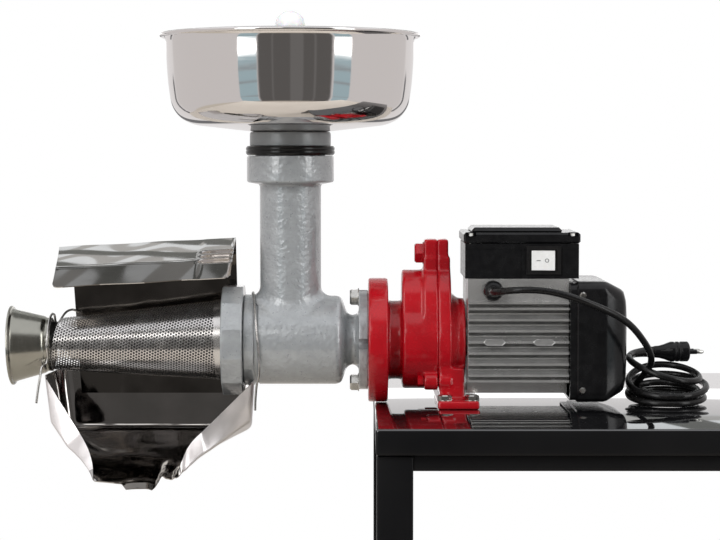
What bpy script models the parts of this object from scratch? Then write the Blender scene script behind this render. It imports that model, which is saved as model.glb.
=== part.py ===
"""Electric fruit mill: a bowl hopper over a screw press, driven by a finned motor through a gearbox.

Metres, +Z up. The origin is the centre of the foot's sole. +X runs from the waste funnel to the
motor, and +Y away from the switch. The screw, the barrel and the gearbox output share one axis
along X; the motor's axis runs parallel, a little higher.
"""

import math

import bmesh
import bpy
from mathutils import Vector

# Driving dimensions
GAP = 0.0003  # clearance between pieces that touch
MILL_Z = 0.0655  # height of the screw's axis over the sole
MOTOR_Z = 0.0680  # height of the motor's axis
HOPPER_X = -0.174  # the neck's axis
BARREL_R = 0.0467
BARREL_BORE_R = 0.0380
NOSE_X = -0.2380  # front end of the barrel's nose, where the filter cone is clamped
NOSE_R = 0.0455
FLANGE_X = -0.0927  # right face of the mill body's rear flange
BOLT_CIRCLE_R = 0.0450
NECK_R = 0.0320
NECK_BORE_R = 0.0270
COLLAR_TOP = 0.2590
BOWL_R = 0.1297
CONE_DROOP = math.radians(1.5)  # the cone and funnel hang a little low in the ring nut
SHEET = 0.0012  # thickness of the tray's and the hood's sheet steel
WIRE_R = 0.00125
SPLIT_X = -0.0200  # plane where the gearbox's two halves meet
CUP_LOW_R = 0.0485
CUP_HIGH_R = 0.0362
FRAME_LEFT = 0.0100
FRAME_RIGHT = 0.1140
BOX_HALF_Y = 0.0500
CORD_R = 0.0035
COIL_CENTRE = (0.2190, -0.0140)
COIL_TOP = 0.0397

# Gear train: 11 and 45 teeth, then 12 and 48, on one module
MODULE = 0.00125
ROTOR_TEETH, WHEEL_TEETH = 11, 45
PINION_TEETH, OUTPUT_TEETH = 12, 48
LAY_Z = MILL_Z + MODULE * (PINION_TEETH + OUTPUT_TEETH) / 2  # the intermediate shaft, over the output

PARTS = None
CUTTERS = None


# ---------------------------------------------------------------- helpers
def start():
    """An empty scene with one collection for the mill and one for its cutters."""
    global PARTS, CUTTERS
    for obj in list(bpy.data.objects):
        bpy.data.objects.remove(obj, do_unlink=True)
    PARTS = bpy.data.collections.new("fruit_mill")
    CUTTERS = bpy.data.collections.new("cutters")
    bpy.context.scene.collection.children.link(PARTS)
    bpy.context.scene.collection.children.link(CUTTERS)


def paint(name, colour, roughness, metallic):
    """A Principled material."""
    mat = bpy.data.materials.new(name)
    mat.use_nodes = True
    shader = mat.node_tree.nodes["Principled BSDF"]
    shader.inputs["Base Color"].default_value = (*colour, 1.0)
    shader.inputs["Roughness"].default_value = roughness
    shader.inputs["Metallic"].default_value = metallic
    return mat


LOOKS = {
    "steel": ((0.72, 0.71, 0.69), 0.12, 1.0),
    "grey_cast": ((0.42, 0.44, 0.45), 0.45, 0.2),
    "red_paint": ((0.55, 0.02, 0.03), 0.30, 0.0),
    "aluminium": ((0.60, 0.60, 0.60), 0.35, 1.0),
    "zinc": ((0.62, 0.60, 0.55), 0.35, 1.0),
    "black_plastic": ((0.02, 0.02, 0.02), 0.35, 0.0),
    "white_plastic": ((0.85, 0.85, 0.84), 0.35, 0.0),
    "rubber": ((0.02, 0.02, 0.02), 0.6, 0.0),
    "bronze": ((0.55, 0.36, 0.18), 0.35, 1.0),
    "copper": ((0.60, 0.25, 0.12), 0.4, 1.0),
    "iron": ((0.25, 0.25, 0.26), 0.5, 1.0),
}


def place(name, data, look, origin=(0, 0, 0), along="Z"):
    """An object of its own material, its local Z laid along a world axis."""
    obj = bpy.data.objects.new(name, data)
    PARTS.objects.link(obj)
    obj.location = origin
    obj.rotation_euler = {
        "X": (0, math.pi / 2, 0),
        "Y": (-math.pi / 2, 0, 0),
        "Z": (0, 0, 0),
    }[along]
    if look:
        data.materials.append(paint(name, *LOOKS[look]))
    return obj


def turned(name, outline, look, origin=(0, 0, 0), along="Z", steps=32, spin=0.0):
    """Turn a (radius, height) outline about local Z; an outline that starts on the axis ends on it."""
    area = sum(
        a[0] * b[1] - b[0] * a[1]
        for a, b in zip(outline, outline[1:] + outline[:1], strict=True)
    )
    points = outline if area < 0 else outline[::-1]
    open_chain = points[0][0] == 0 and points[-1][0] == 0
    mesh = bpy.data.meshes.new(name)
    count = len(points)
    edges = [(i, (i + 1) % count) for i in range(count - 1 if open_chain else count)]
    corners = [(r * math.cos(spin), r * math.sin(spin), h) for r, h in points]
    mesh.from_pydata(corners, edges, [])
    obj = place(name, mesh, look, origin, along)
    screw = obj.modifiers.new("turn", "SCREW")
    screw.axis = "Z"
    screw.angle = 2 * math.pi
    screw.steps = screw.render_steps = steps
    screw.use_merge_vertices = True
    screw.merge_threshold = 1e-6
    screw.use_smooth_shade = False
    return obj


def rod(name, radius, low, high, look, origin=(0, 0, 0), along="Z", steps=24, spin=0.0):
    """A plain cylinder from low to high along its axis."""
    outline = [(0, high), (radius, high), (radius, low), (0, low)]
    return turned(name, outline, look, origin, along, steps, spin)


def ring(name, inner, outer, low, high, look, origin=(0, 0, 0), along="Z", steps=32):
    """A plain ring from low to high along its axis."""
    outline = [(outer, high), (outer, low), (inner, low), (inner, high)]
    return turned(name, outline, look, origin, along, steps)


def thick(line, thickness):
    """The closed outline of a sheet of even thickness that follows a (radius, height) line."""
    sides = ([], [])
    for i, here in enumerate(line):
        before = Vector(line[max(i - 1, 0)])
        after = Vector(line[min(i + 1, len(line) - 1)])
        here = Vector(here)
        steps = [v.normalized() for v in (here - before, after - here) if v.length > 0]
        run = sum(steps, Vector((0, 0))).normalized()
        across = Vector((-run.y, run.x))
        spread = thickness / 2 / max(0.5, run.dot(steps[0]))
        for side, sign in zip(sides, (1, -1), strict=True):
            side.append(tuple(here + across * spread * sign))
    return sides[0] + sides[1][::-1]


def box(name, low, high, look, bevel=0.0, segments=1):
    """An upright box between two corners, its edges beveled."""
    mesh = bpy.data.meshes.new(name)
    shape = bmesh.new()
    bmesh.ops.create_cube(shape, size=1.0)
    size = [h - l for l, h in zip(low, high, strict=True)]
    bmesh.ops.scale(shape, vec=size, verts=shape.verts)
    shape.to_mesh(mesh)
    shape.free()
    centre = [(l + h) / 2 for l, h in zip(low, high, strict=True)]
    obj = place(name, mesh, look, centre)
    if bevel:
        edge = obj.modifiers.new("round", "BEVEL")
        edge.width = bevel
        edge.segments = segments
    return obj


def plate(name, outlines, low, high, look, along="X", origin=(0, 0, 0)):
    """A flat outline, with any holes, made thick from low to high along X or Z.

    Along X an outline's points are (y, z), and along Z they are (x, y).
    """
    curve = bpy.data.curves.new(name, "CURVE")
    curve.dimensions = "2D"
    curve.fill_mode = "BOTH"
    curve.extrude = (high - low) / 2
    for outline in outlines:
        spline = curve.splines.new("POLY")
        spline.points.add(len(outline) - 1)
        spline.use_cyclic_u = True
        for point, (u, v) in zip(spline.points, outline, strict=True):
            point.co = (-v, u, 0, 1) if along == "X" else (u, v, 0, 1)
    middle = Vector((1, 0, 0) if along == "X" else (0, 0, 1)) * (low + high) / 2
    return place(name, curve, look, Vector(origin) + middle, along)


def to_mesh(obj):
    """The mesh of a curve object, its caps welded, in the curve's place."""
    bpy.context.view_layer.update()
    seen = obj.evaluated_get(bpy.context.evaluated_depsgraph_get())
    mesh = bpy.data.meshes.new_from_object(seen)
    shape = bmesh.new()
    shape.from_mesh(mesh)
    bmesh.ops.remove_doubles(shape, verts=shape.verts, dist=1e-6)
    bmesh.ops.dissolve_limit(shape, angle_limit=0.001, verts=shape.verts, edges=shape.edges)
    shape.to_mesh(mesh)
    shape.free()
    name, matrix = obj.name, obj.matrix_world.copy()
    bpy.data.objects.remove(obj, do_unlink=True)
    solid = bpy.data.objects.new(name, mesh)
    PARTS.objects.link(solid)
    solid.matrix_world = matrix
    return solid


def combine(obj, tool, operation):
    """Join a tool to an object, or cut it away, and keep the tool as a wire guide."""
    PARTS.objects.unlink(tool)
    CUTTERS.objects.link(tool)
    tool.hide_render = True
    tool.display_type = "WIRE"
    step = obj.modifiers.new(operation.lower(), "BOOLEAN")
    step.operation = operation
    step.object = tool
    step.solver = "EXACT"


def join(obj, *tools):
    for tool in tools:
        combine(obj, tool, "UNION")


def cut(obj, *tools):
    for tool in tools:
        combine(obj, tool, "DIFFERENCE")


def hex_bolt(name, size, head, shank, look, origin, along, way):
    """A bolt whose head stands from the origin against `way`, and whose shank runs along it.

    size is (across flats, shank radius), head and shank are lengths, and way is 1 or -1.
    """
    corner = size[0] / 2 / math.cos(math.pi / 6)
    low, high = sorted((0, -way * head))
    bolt = rod(name, corner, low, high, look, origin, along, 6)
    low, high = sorted((-way * head / 2, way * shank))
    join(bolt, rod(name + "_shank", size[1], low, high, None, origin, along, 12))
    return bolt


def tube(name, points, radius, look, sides=2):
    """A round wire or cord through a list of points."""
    curve = bpy.data.curves.new(name, "CURVE")
    curve.dimensions = "3D"
    curve.bevel_depth = radius
    curve.bevel_resolution = sides
    curve.use_fill_caps = True
    spline = curve.splines.new("POLY")
    spline.points.add(len(points) - 1)
    for point, co in zip(spline.points, points, strict=True):
        point.co = (*co, 1)
    return place(name, curve, look)


def smooth_route(route, spacing):
    """Even points on a smooth curve through a route's own points."""
    first = 2 * Vector(route[0]) - Vector(route[1])
    last = 2 * Vector(route[-1]) - Vector(route[-2])
    line = [first, *[Vector(p) for p in route], last]
    dense = []
    for a, b, c, d in zip(line, line[1:], line[2:], line[3:], strict=False):
        for i in range(24):
            t = i / 24
            square = 2 * a - 5 * b + 4 * c - d
            cube = 3 * b - a - 3 * c + d
            dense.append(0.5 * (2 * b + (c - a) * t + square * t**2 + cube * t**3))
    dense.append(line[-2])
    length = sum((q - p).length for p, q in zip(dense, dense[1:], strict=False))
    count = max(2, round(length / spacing))
    points, walked, want = [dense[0]], 0.0, length / count
    for p, q in zip(dense, dense[1:], strict=False):
        walked += (q - p).length
        if walked >= want and len(points) < count:
            points.append(q)
            want += length / count
    return points + [dense[-1]]


def rounded_square(x, half_y, half_z, corner, centre_z, arc=3):
    """A loop of points round an upright rounded square that faces X."""
    loop = []
    for quarter in range(4):
        sy = (1, -1, -1, 1)[quarter]
        sz = (1, 1, -1, -1)[quarter]
        for k in range(arc + 1):
            a = math.pi / 2 * (quarter + k / arc)
            y = sy * (half_y - corner) + corner * math.cos(a)
            z = sz * (half_z - corner) + corner * math.sin(a)
            loop.append((x, y, centre_z + z))
    return loop


def loft(name, loops, look):
    """A closed body through loops of equally many points, capped at both ends."""
    mesh = bpy.data.meshes.new(name)
    shape = bmesh.new()
    rows = [[shape.verts.new(p) for p in loop] for loop in loops]
    count = len(loops[0])
    for a, b in zip(rows, rows[1:], strict=False):
        for i in range(count):
            j = (i + 1) % count
            shape.faces.new((a[i], a[j], b[j], b[i]))
    shape.faces.new(rows[0][::-1])
    shape.faces.new(rows[-1])
    bmesh.ops.recalc_face_normals(shape, faces=shape.faces)
    shape.to_mesh(mesh)
    shape.free()
    return place(name, mesh, look)


def sheet(name, corners, faces, look):
    """A folded sheet from named corners, given its thickness by Solidify."""
    names = list(corners)
    mesh = bpy.data.meshes.new(name)
    mesh.from_pydata([corners[n] for n in names], [], [[names.index(n) for n in f] for f in faces])
    shape = bmesh.new()
    shape.from_mesh(mesh)
    bmesh.ops.triangulate(shape, faces=shape.faces)
    bmesh.ops.recalc_face_normals(shape, faces=shape.faces)
    shape.to_mesh(mesh)
    shape.free()
    obj = place(name, mesh, look)
    solid = obj.modifiers.new("thickness", "SOLIDIFY")
    solid.thickness = SHEET
    solid.offset = 0
    return obj


def hull_outline(low_r, high_r, arc=9):
    """The (y, z) outline round the output shaft's circle and the intermediate shaft's over it."""
    rise = LAY_Z - MILL_Z
    lean = math.asin((low_r - high_r) / rise)
    points = []
    for centre, radius, start, turn in (
        (MILL_Z, low_r, math.pi - lean, math.pi + 2 * lean),
        (LAY_Z, high_r, lean, math.pi - 2 * lean),
    ):
        for k in range(arc + 1):
            a = start + turn * k / arc
            points.append((radius * math.cos(a), centre + radius * math.sin(a)))
    return points


def circle(centre, radius, count):
    """A round outline of (u, v) points."""
    turn = 2 * math.pi / count
    return [
        (centre[0] + radius * math.cos(turn * k), centre[1] + radius * math.sin(turn * k))
        for k in range(count)
    ]


# ---------------------------------------------------------------- gears
def gear_outline(teeth, centre_z, phase):
    """An involute gear's (y, z) outline, its first tooth turned by `phase` from straight up.

    The teeth are stubby and a little thin, so that coarse flanks still run clear.
    """
    pitch_r = MODULE * teeth / 2
    base_r = pitch_r * math.cos(math.radians(20))
    tip_r = pitch_r + 0.75 * MODULE
    root_r = pitch_r - 1.25 * MODULE
    half_pitch = math.pi / teeth * 0.40  # half a tooth's angle on the pitch circle

    def involute(r):
        a = math.acos(min(1.0, base_r / r))
        return math.tan(a) - a

    def half_angle(r):
        return half_pitch + involute(pitch_r) - involute(max(r, base_r))

    mid_r = max(base_r, root_r + 0.3 * (tip_r - root_r))
    small = teeth < 20
    radii = (root_r, mid_r, pitch_r, tip_r) if small else (root_r, tip_r)
    flank = [(r, half_angle(r)) for r in radii]
    points = []
    for k in range(teeth):
        middle = phase + 2 * math.pi * k / teeth
        for r, a in [(r, -a) for r, a in flank] + flank[::-1]:
            points.append((r * math.sin(middle + a), centre_z + r * math.cos(middle + a)))
    return points


def gears():
    """The two reductions, in mesh at rest: a tooth of each pinion stands in a wheel's gap."""
    gap_down = math.pi - math.pi / WHEEL_TEETH  # puts one of the wheel's gaps straight down
    first = gear_outline(WHEEL_TEETH, LAY_Z, gap_down + 2 * math.pi / WHEEL_TEETH)
    plate("intermediate_gear", [first, circle((0, LAY_Z), 0.0053, 12)], -0.0300, -0.0220, "iron")
    plate("output_gear",
          [gear_outline(OUTPUT_TEETH, MILL_Z, math.pi / OUTPUT_TEETH), circle((0, MILL_Z), 0.0104, 16)],
          -0.0500, -0.0380, "iron")
    shaft = rod("intermediate_pinion", 0.0050, -0.0565, -0.0078, "iron", (0, 0, LAY_Z), "X", 16)
    teeth = plate("pinion_teeth", [gear_outline(PINION_TEETH, LAY_Z, math.pi)], -0.0515, -0.0365, None)
    join(shaft, to_mesh(teeth))
    rotor = rod("rotor_shaft", 0.0075, -0.0210, 0.1440, "iron", (0, 0, MOTOR_Z), "X", 20)
    teeth = plate("rotor_teeth", [gear_outline(ROTOR_TEETH, MOTOR_Z, 0)], -0.0320, -0.0205, None)
    join(rotor, to_mesh(teeth))


# ---------------------------------------------------------------- mill
def mill_body():
    """The cast tee: barrel, neck and collar, throat and slotted rear flange."""
    axis = (0, 0, MILL_Z)
    outline = [
        (0, NOSE_X), (NOSE_R, NOSE_X), (NOSE_R, -0.2219), (0.0480, -0.2219), (0.0474, -0.2112),
        (0.0450, -0.2108), (0.0450, -0.2072), (BARREL_R, -0.2066), (BARREL_R, -0.1240),
        (0.0440, -0.1200), (0.0380, -0.1180), (0.0285, -0.1150), (0.0258, -0.1094), (0.0275, -0.1045),
        (0.0300, -0.1023), (0.0523, -0.1023), (0.0523, FLANGE_X), (0, FLANGE_X),
    ]
    body = turned("mill_body", outline, "grey_cast", axis, "X", 28)
    neck = [
        (0, COLLAR_TOP), (0.0447, COLLAR_TOP), (0.0452, COLLAR_TOP - 0.001), (0.0452, 0.2325),
        (0.0440, 0.2315), (NECK_R, 0.2290), (NECK_R, 0.1250), (NECK_R + 0.0010, 0.1130),
        (NECK_R + 0.0022, 0.1050), (NECK_R + 0.0022, 0.0800), (0, 0.0800),
    ]
    join(body, turned("neck", neck, None, (HOPPER_X, 0, 0), steps=24))
    bore = [
        (0, NOSE_X - 0.001), (BARREL_BORE_R, NOSE_X - 0.001), (BARREL_BORE_R, -0.1280),
        (0.0200, -0.1240), (0.0143, -0.1240), (0.0143, FLANGE_X + 0.001), (0, FLANGE_X + 0.001),
    ]
    well = [
        (0, COLLAR_TOP + 0.001), (0.0370, COLLAR_TOP + 0.001), (0.0370, 0.2405), (NECK_BORE_R, 0.2405),
        (NECK_BORE_R, 0.0850), (0, 0.0850),
    ]
    cut(body, turned("bore", bore, None, axis, "X", 24),
        turned("well", well, None, (HOPPER_X, 0, 0), steps=24))
    left, right, half = -0.1045, -0.0905, 0.0055  # the flange's slots, open at its edge
    inner, outer = 0.0390, 0.0600
    for number, sign in enumerate((1, -1)):
        low, high = sorted((sign * inner, sign * outer))
        cut(body, box(f"slot_side_{number}", (left, low, MILL_Z - half), (right, high, MILL_Z + half), None),
            box(f"slot_end_{number}", (left, -half, MILL_Z + low), (right, half, MILL_Z + high), None))


def flange_bolts():
    """Two bolts through the rear flange's upper and lower slots; the side slots stay empty."""
    for name, side in (("top", 1), ("bottom", -1)):
        spot = (-0.1026, 0, MILL_Z + side * BOLT_CIRCLE_R)
        hex_bolt(f"flange_bolt_{name}", (0.016, 0.0050), 0.0098, 0.0170, "zinc", spot, "X", 1)


def auger_section(x, phase, blade, core):
    """One slice of the screw: a round core with one blade."""
    half_root, half_tip = math.radians(27), math.radians(15)
    turns = [(-half_tip, blade), (half_tip, blade), (half_root, core)]
    rest = 2 * math.pi - 2 * half_root
    turns += [(half_root + rest * k / 8, core) for k in range(1, 9)]
    return [
        (x, r * math.sin(phase + a), MILL_Z + r * math.cos(phase + a)) for a, r in turns
    ]


def auger():
    """The screw: full size in the barrel, tapering inside the cone, with a square tang for the drive."""
    pitch, slices = 0.050, 8
    left, right, taper = -0.4280, -0.1310, -0.2400
    count = round((right - left) / pitch * slices)
    loops = []
    for k in range(count + 1):
        x = left + (right - left) * k / count
        share = min(1.0, (x - left) / (taper - left))
        blade = 0.0200 + 0.0163 * share
        core = 0.0100 + 0.0050 * share
        loops.append(auger_section(x, 2 * math.pi * (x - left) / pitch, blade, core))
    phase = 2 * math.pi * (right - left) / pitch
    shaft_r, tang = 0.0101, 0.0062
    loops.append(auger_section(right + 0.0002, phase, shaft_r, shaft_r))
    loops.append(auger_section(-0.0960, phase, shaft_r, shaft_r))
    body = loft("auger", loops, "aluminium")
    join(body, box("tang", (-0.0980, -tang, MILL_Z - tang), (-0.0825, tang, MILL_Z + tang), None))
    body_origin(body, (0, 0, MILL_Z))


def body_origin(obj, spot):
    """Move an object's origin to a point and leave its shape where it is."""
    shift = Vector(spot) - obj.location
    for vertex in obj.data.vertices:
        vertex.co -= shift
    obj.location = spot


def screen():
    """The ring nut, the filter cone that it clamps, and the waste funnel on the cone's small end."""
    axis = (0, 0, MILL_Z)
    flat = math.cos(math.pi / 12)
    outline = [
        (0, -0.2224), (0.0560 / flat, -0.2224), (0.0565 / flat, -0.2232), (0.0565 / flat, -0.2440),
        (0.0555 / flat, -0.2450), (0, -0.2450),
    ]
    nut = turned("ring_nut", outline, "grey_cast", axis, "X", 12, math.pi / 12)
    bore = [
        (0, -0.2210), (0.0465, -0.2210), (0.0465, -0.2427), (0.0444, -0.2427), (0.0444, -0.2460),
        (0, -0.2460),
    ]
    cut(nut, turned("nut_bore", bore, None, axis, "X", 36))

    pivot = bpy.data.objects.new("cone_pivot", None)
    PARTS.objects.link(pivot)
    pivot.location = (-0.2400, 0, MILL_Z)
    pivot.rotation_euler = (0, -CONE_DROOP, 0)
    cone = thick([(0.0259, -0.4340), (0.0428, -0.2400), (0.0455, -0.2400)], 0.0010)
    funnel = thick(
        [(0.0281, -0.4250), (0.0281, -0.4300), (0.0300, -0.4325), (0.0378, -0.4630), (0.0405, -0.4683),
         (0.0414, -0.4660)],
        0.0010,
    )
    for name, line in (("filter_cone", cone), ("waste_funnel", funnel)):
        local = [(r, x + 0.2400) for r, x in line]
        piece = turned(name, local, "steel", (0, 0, 0), "X", 28)
        piece.parent = pivot


def hopper():
    """The bowl, its grey spout and the black seal, which lift out of the neck together; and the pusher."""
    centre = (HOPPER_X, 0, 0)
    bowl = thick(
        [(0.0325, 0.2690), (0.0325, 0.2805), (0.0360, 0.2838), (0.0980, 0.2920), (0.1130, 0.3000),
         (0.1230, 0.3140), (0.1272, 0.3330), (BOWL_R, 0.3795), (0.1345, 0.3862), (0.1361, 0.3822)],
        0.0010,
    )
    turned("hopper_bowl", bowl, "steel", centre, steps=30)
    spout = [
        (0.0424, 0.2826), (0.0424, 0.2693), (0.0366, 0.2693), (0.0366, 0.2415), (0.0300, 0.2415),
        (0.0300, 0.2670), (0.0337, 0.2670), (0.0337, 0.2790), (0.0372, 0.2826),
    ]
    turned("hopper_spout", spout, "grey_cast", centre, steps=24)
    seal = [
        (0.0369, 0.2690), (0.0452, 0.2690), (0.0465, 0.2670), (0.0465, 0.2625), (0.0455, 0.2596),
        (0.0369, 0.2596),
    ]
    turned("hopper_seal", seal, "rubber", centre, steps=24)
    knob_z, knob_r = 0.3940, 0.0160
    knob = [
        (knob_r * math.cos(a), knob_z + knob_r * math.sin(a))
        for a in (math.radians(d) for d in (60, 30, 0, -30))
    ]
    pusher = [
        (0, knob_z + knob_r), *knob, (0.0095, 0.3800), (0.0110, 0.2960), (0.0200, 0.2905), (0.0390, 0.2905),
        (0.0390, 0.2854), (0.0255, 0.2854), (0.0255, 0.1220), (0.0235, 0.1180), (0, 0.1180),
    ]
    turned("pusher", pusher, "white_plastic", centre, steps=20)


def drip_tray():
    """The open-fronted tray that hangs under the cone and narrows forward into a spout."""
    corners = {
        "back_left": (-0.4270, 0.0640, 0.0220), "back_right": (-0.2160, 0.0640, 0.0220),
        "front_left": (-0.4280, -0.0400, 0.0320), "front_right": (-0.2110, -0.0420, 0.0260),
        "heel_left": (-0.4210, -0.0450, -0.0160), "heel_right": (-0.2139, -0.0350, -0.0160),
        "sole_left": (-0.4190, 0.0600, -0.0360), "sole_right": (-0.2190, 0.0600, -0.0360),
        "edge_left": (-0.3896, -0.0580, -0.0253), "edge_right": (-0.2640, -0.0560, -0.0250),
        "neck_left": (-0.3750, -0.0740, -0.0460), "neck_right": (-0.2790, -0.0700, -0.0380),
        "hip_left": (-0.4030, -0.0580, -0.0400), "hip_right": (-0.2600, -0.0600, -0.0465),
        "cheek_left": (-0.3725, -0.0800, -0.0565), "cheek_right": (-0.2780, -0.0800, -0.0590),
        "lip_left": (-0.3625, -0.0900, -0.0680), "lip_right": (-0.2860, -0.0900, -0.0665),
        "pan_left": (-0.3700, -0.0150, -0.0560), "pan_right": (-0.2750, -0.0150, -0.0560),
        "spout_left": (-0.3420, -0.0940, -0.0705), "spout_right": (-0.3060, -0.0940, -0.0705),
        "tip_left": (-0.3370, -0.1010, -0.0760), "tip_right": (-0.3110, -0.1010, -0.0760),
    }
    faces = [
        ["back_left", "back_right", "sole_right", "sole_left"],
        ["spout_left", "spout_right", "tip_right", "tip_left"],
        ["sole_left", "sole_right", "pan_right", "pan_left"],
        ["pan_left", "pan_right", "spout_right", "spout_left"],
    ]
    for side in ("left", "right"):
        faces += [
            [f"{name}_{side}" for name in run]
            for run in (
                ("back", "front", "heel", "sole"),
                ("front", "edge", "hip", "heel"),
                ("edge", "neck", "cheek", "hip"),
                ("neck", "lip", "cheek"),
                ("heel", "hip", "pan", "sole"),
                ("hip", "cheek", "pan"),
                ("cheek", "lip", "spout", "pan"),
            )
        ]
    tray = sheet("drip_tray", corners, faces, "steel")
    cut(tray, rod("barrel_room", 0.0500, -0.2300, -0.2000, None, (0, 0, MILL_Z), "X", 32))


def splash_hood():
    """The bent roof over the cone, with its rear panel standing inside the tray."""
    right, panel_left = -0.2350, -0.4100
    rise = 0.0100  # the hood stands higher at its right end
    profile = [
        ("ridge", -0.4260, 0.0600, 0.1600), ("crease", -0.4215, -0.0080, 0.1415),
        ("brim", -0.4190, -0.0450, 0.1235),
    ]
    corners = {"foot_left": (panel_left, 0.0610, 0.0020), "foot_right": (-0.2310, 0.0610, 0.0020),
               "ridge_in": (panel_left, 0.0600, 0.1605)}
    for name, left, y, z in profile:
        corners[f"{name}_left"] = (left, y, z)
        corners[f"{name}_right"] = (right, y, z + rise)
    faces = [
        ["foot_left", "foot_right", "ridge_right", "ridge_in"],
        ["ridge_left", "ridge_in", "ridge_right", "crease_right", "crease_left"],
        ["crease_left", "crease_right", "brim_right", "brim_left"],
    ]
    sheet("splash_hood", corners, faces, "steel")


def wire_clips():
    """The two wires that hold the tray up: over the cone's small end, and over the barrel."""
    reach = 0.0321  # the left wire's radius round the funnel's sleeve
    sag = math.sin(CONE_DROOP) * 0.1890  # how far the cone's droop lowers the sleeve
    left = [(-0.4045, 0.0560, 0.0905), (-0.4120, 0.0530, 0.0930)]
    for k in range(6):
        a = math.radians(40 + 34 * k)
        left.append((-0.4238 - 0.0007 * k, reach * math.cos(a), MILL_Z - sag + reach * math.sin(a)))
    left += [
        (-0.4315, -0.0335, 0.0400), (-0.4325, -0.0375, 0.0310), (-0.4345, -0.0395, 0.0180),
        (-0.4365, -0.0400, 0.0030),
    ]
    tube("tray_clip_left", smooth_route(left, 0.0100), WIRE_R, "steel", 1)
    reach = 0.0499  # the right wire's radius round the barrel
    right = [(-0.2196, 0.0570, 0.0270), (-0.2196, 0.0545, 0.0400)]
    for k in range(8):
        a = math.radians(5 + 27 * k)
        right.append((-0.2196 + 0.0020 * k, reach * math.cos(a), MILL_Z + reach * math.sin(a)))
    right += [
        (-0.2055, -0.0462, 0.0330), (-0.2075, -0.0450, 0.0240), (-0.2090, -0.0440, 0.0100),
        (-0.2096, -0.0440, -0.0040),
    ]
    tube("tray_clip_right", smooth_route(right, 0.0100), WIRE_R, "steel", 1)


# ---------------------------------------------------------------- gearbox
def gearbox():
    """The two red halves: the disc, hub and cup on the mill's side, and the foot on the motor's side."""
    axis = (0, 0, MILL_Z)
    disc = [
        (0, -0.0924), (0.0640, -0.0924), (0.0650, -0.0914), (0.0650, -0.0727), (0.0630, -0.0717),
        (0.0410, -0.0717), (0.0410, -0.0565), (0, -0.0565),
    ]
    housing = turned("gearbox_housing", disc, "red_paint", axis, "X", 28)
    rim = 0.0025  # how far the joint rim stands proud of the cup
    lug_r, lug_y, lug_z = 0.0095, 0.0385, 0.0260
    left_x, right_x = -0.0350, -0.0063
    inset = 0.0003  # the lugs' ends stand just inside the rim's
    half = GAP / 2
    join(housing, to_mesh(plate("cup", [hull_outline(CUP_LOW_R, CUP_HIGH_R)], -0.0574, -0.0340, None)))
    join(housing, to_mesh(plate("rim_left", [hull_outline(CUP_LOW_R + rim, CUP_HIGH_R + rim)],
                                left_x, SPLIT_X - half, None)))
    cover = to_mesh(plate("gearbox_cover", [hull_outline(CUP_LOW_R + rim, CUP_HIGH_R + rim)],
                          SPLIT_X + half, right_x, "red_paint"))
    join(cover, rod("pilot", 0.0425, -0.0110, 0.0088, None, (0, 0, 0.0668), "X", 28))
    for piece, low, high in ((housing, left_x, SPLIT_X - half), (cover, SPLIT_X + half, right_x)):
        low, high = low + inset, high - inset
        join(piece, box(f"tower_{piece.name}", (low, -0.0145, 0.1250), (high, 0.0145, 0.1530), None))
        cap_low, cap_high = max(low + inset, left_x + 0.0010), min(high - inset, right_x - 0.0022)
        join(piece, box(f"cap_{piece.name}", (cap_low, -0.0130, 0.1500), (cap_high, 0.0130, 0.1718), None))
        for side in (-1, 1):
            spot = (0, side * lug_y, lug_z)
            join(piece, rod(f"lug_{piece.name}_{side}", lug_r, low, high, None, spot, "X", 16))
    leg = box("leg", (-0.0185, -0.0455, 0.0040), (0.0070, 0.0455, 0.0400), None)
    sole = box("sole", (-0.0215, -0.0700, 0.0), (0.0215, 0.0700, 0.0085), None)
    join(cover, leg, sole)

    room = [hull_outline(CUP_LOW_R - 0.004, CUP_HIGH_R - 0.004)]
    cut(housing, to_mesh(plate("room_left", room, -0.0534, SPLIT_X, None)))
    cut(cover, to_mesh(plate("room_right", room, SPLIT_X, -0.0120, None)))
    cut(housing, rod("bearing_seat", 0.0213, -0.0768, -0.0530, None, axis, "X", 32),
        rod("shaft_hole", 0.0152, -0.0940, -0.0760, None, axis, "X", 24),
        rod("lay_seat_left", 0.0053, -0.0568, -0.0530, None, (0, 0, LAY_Z), "X", 16))
    cut(cover, rod("lay_seat_right", 0.0053, -0.0125, -0.0075, None, (0, 0, LAY_Z), "X", 16),
        rod("motor_seat", 0.0192, -0.0130, 0.0100, None, (0, 0, MOTOR_Z), "X", 32))
    for side in (-1, 1):
        spot = (0, 0, MILL_Z + side * BOLT_CIRCLE_R)
        cut(housing, rod(f"disc_hole_{side}", 0.0054, -0.0940, -0.0850, None, spot, "X", 16))

    bolts = (("top", 0.0, 0.1570, 0.020, 0.0060), ("front", -lug_y, lug_z, 0.010, 0.0030),
             ("rear", lug_y, lug_z, 0.010, 0.0030))
    for name, y, z, across, shank_r in bolts:
        head = 0.0087 if name == "top" else 0.0060
        hex_bolt(f"gearbox_bolt_{name}", (across, shank_r), head, 0.0210, "red_paint",
                 (left_x - GAP, y, z), "X", 1)
        for piece in (housing, cover):
            cut(piece, rod(f"bolt_hole_{name}_{piece.name}", shank_r + GAP, -0.0360, -0.0130, None,
                           (0, y, z), "X", 16))

    number = 0
    for x in (-0.0140, 0.0140):
        for y in (-0.0580, 0.0580):
            number += 1
            cut(cover, rod(f"foot_hole_{number}", 0.0044, -0.001, 0.0100, None, (x, y, 0), "Z", 16))
            hex_bolt(f"foot_bolt_{number}", (0.013, 0.0040), 0.0054, 0.0078, "zinc", (x, y, 0.0088), "Z", -1)


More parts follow.
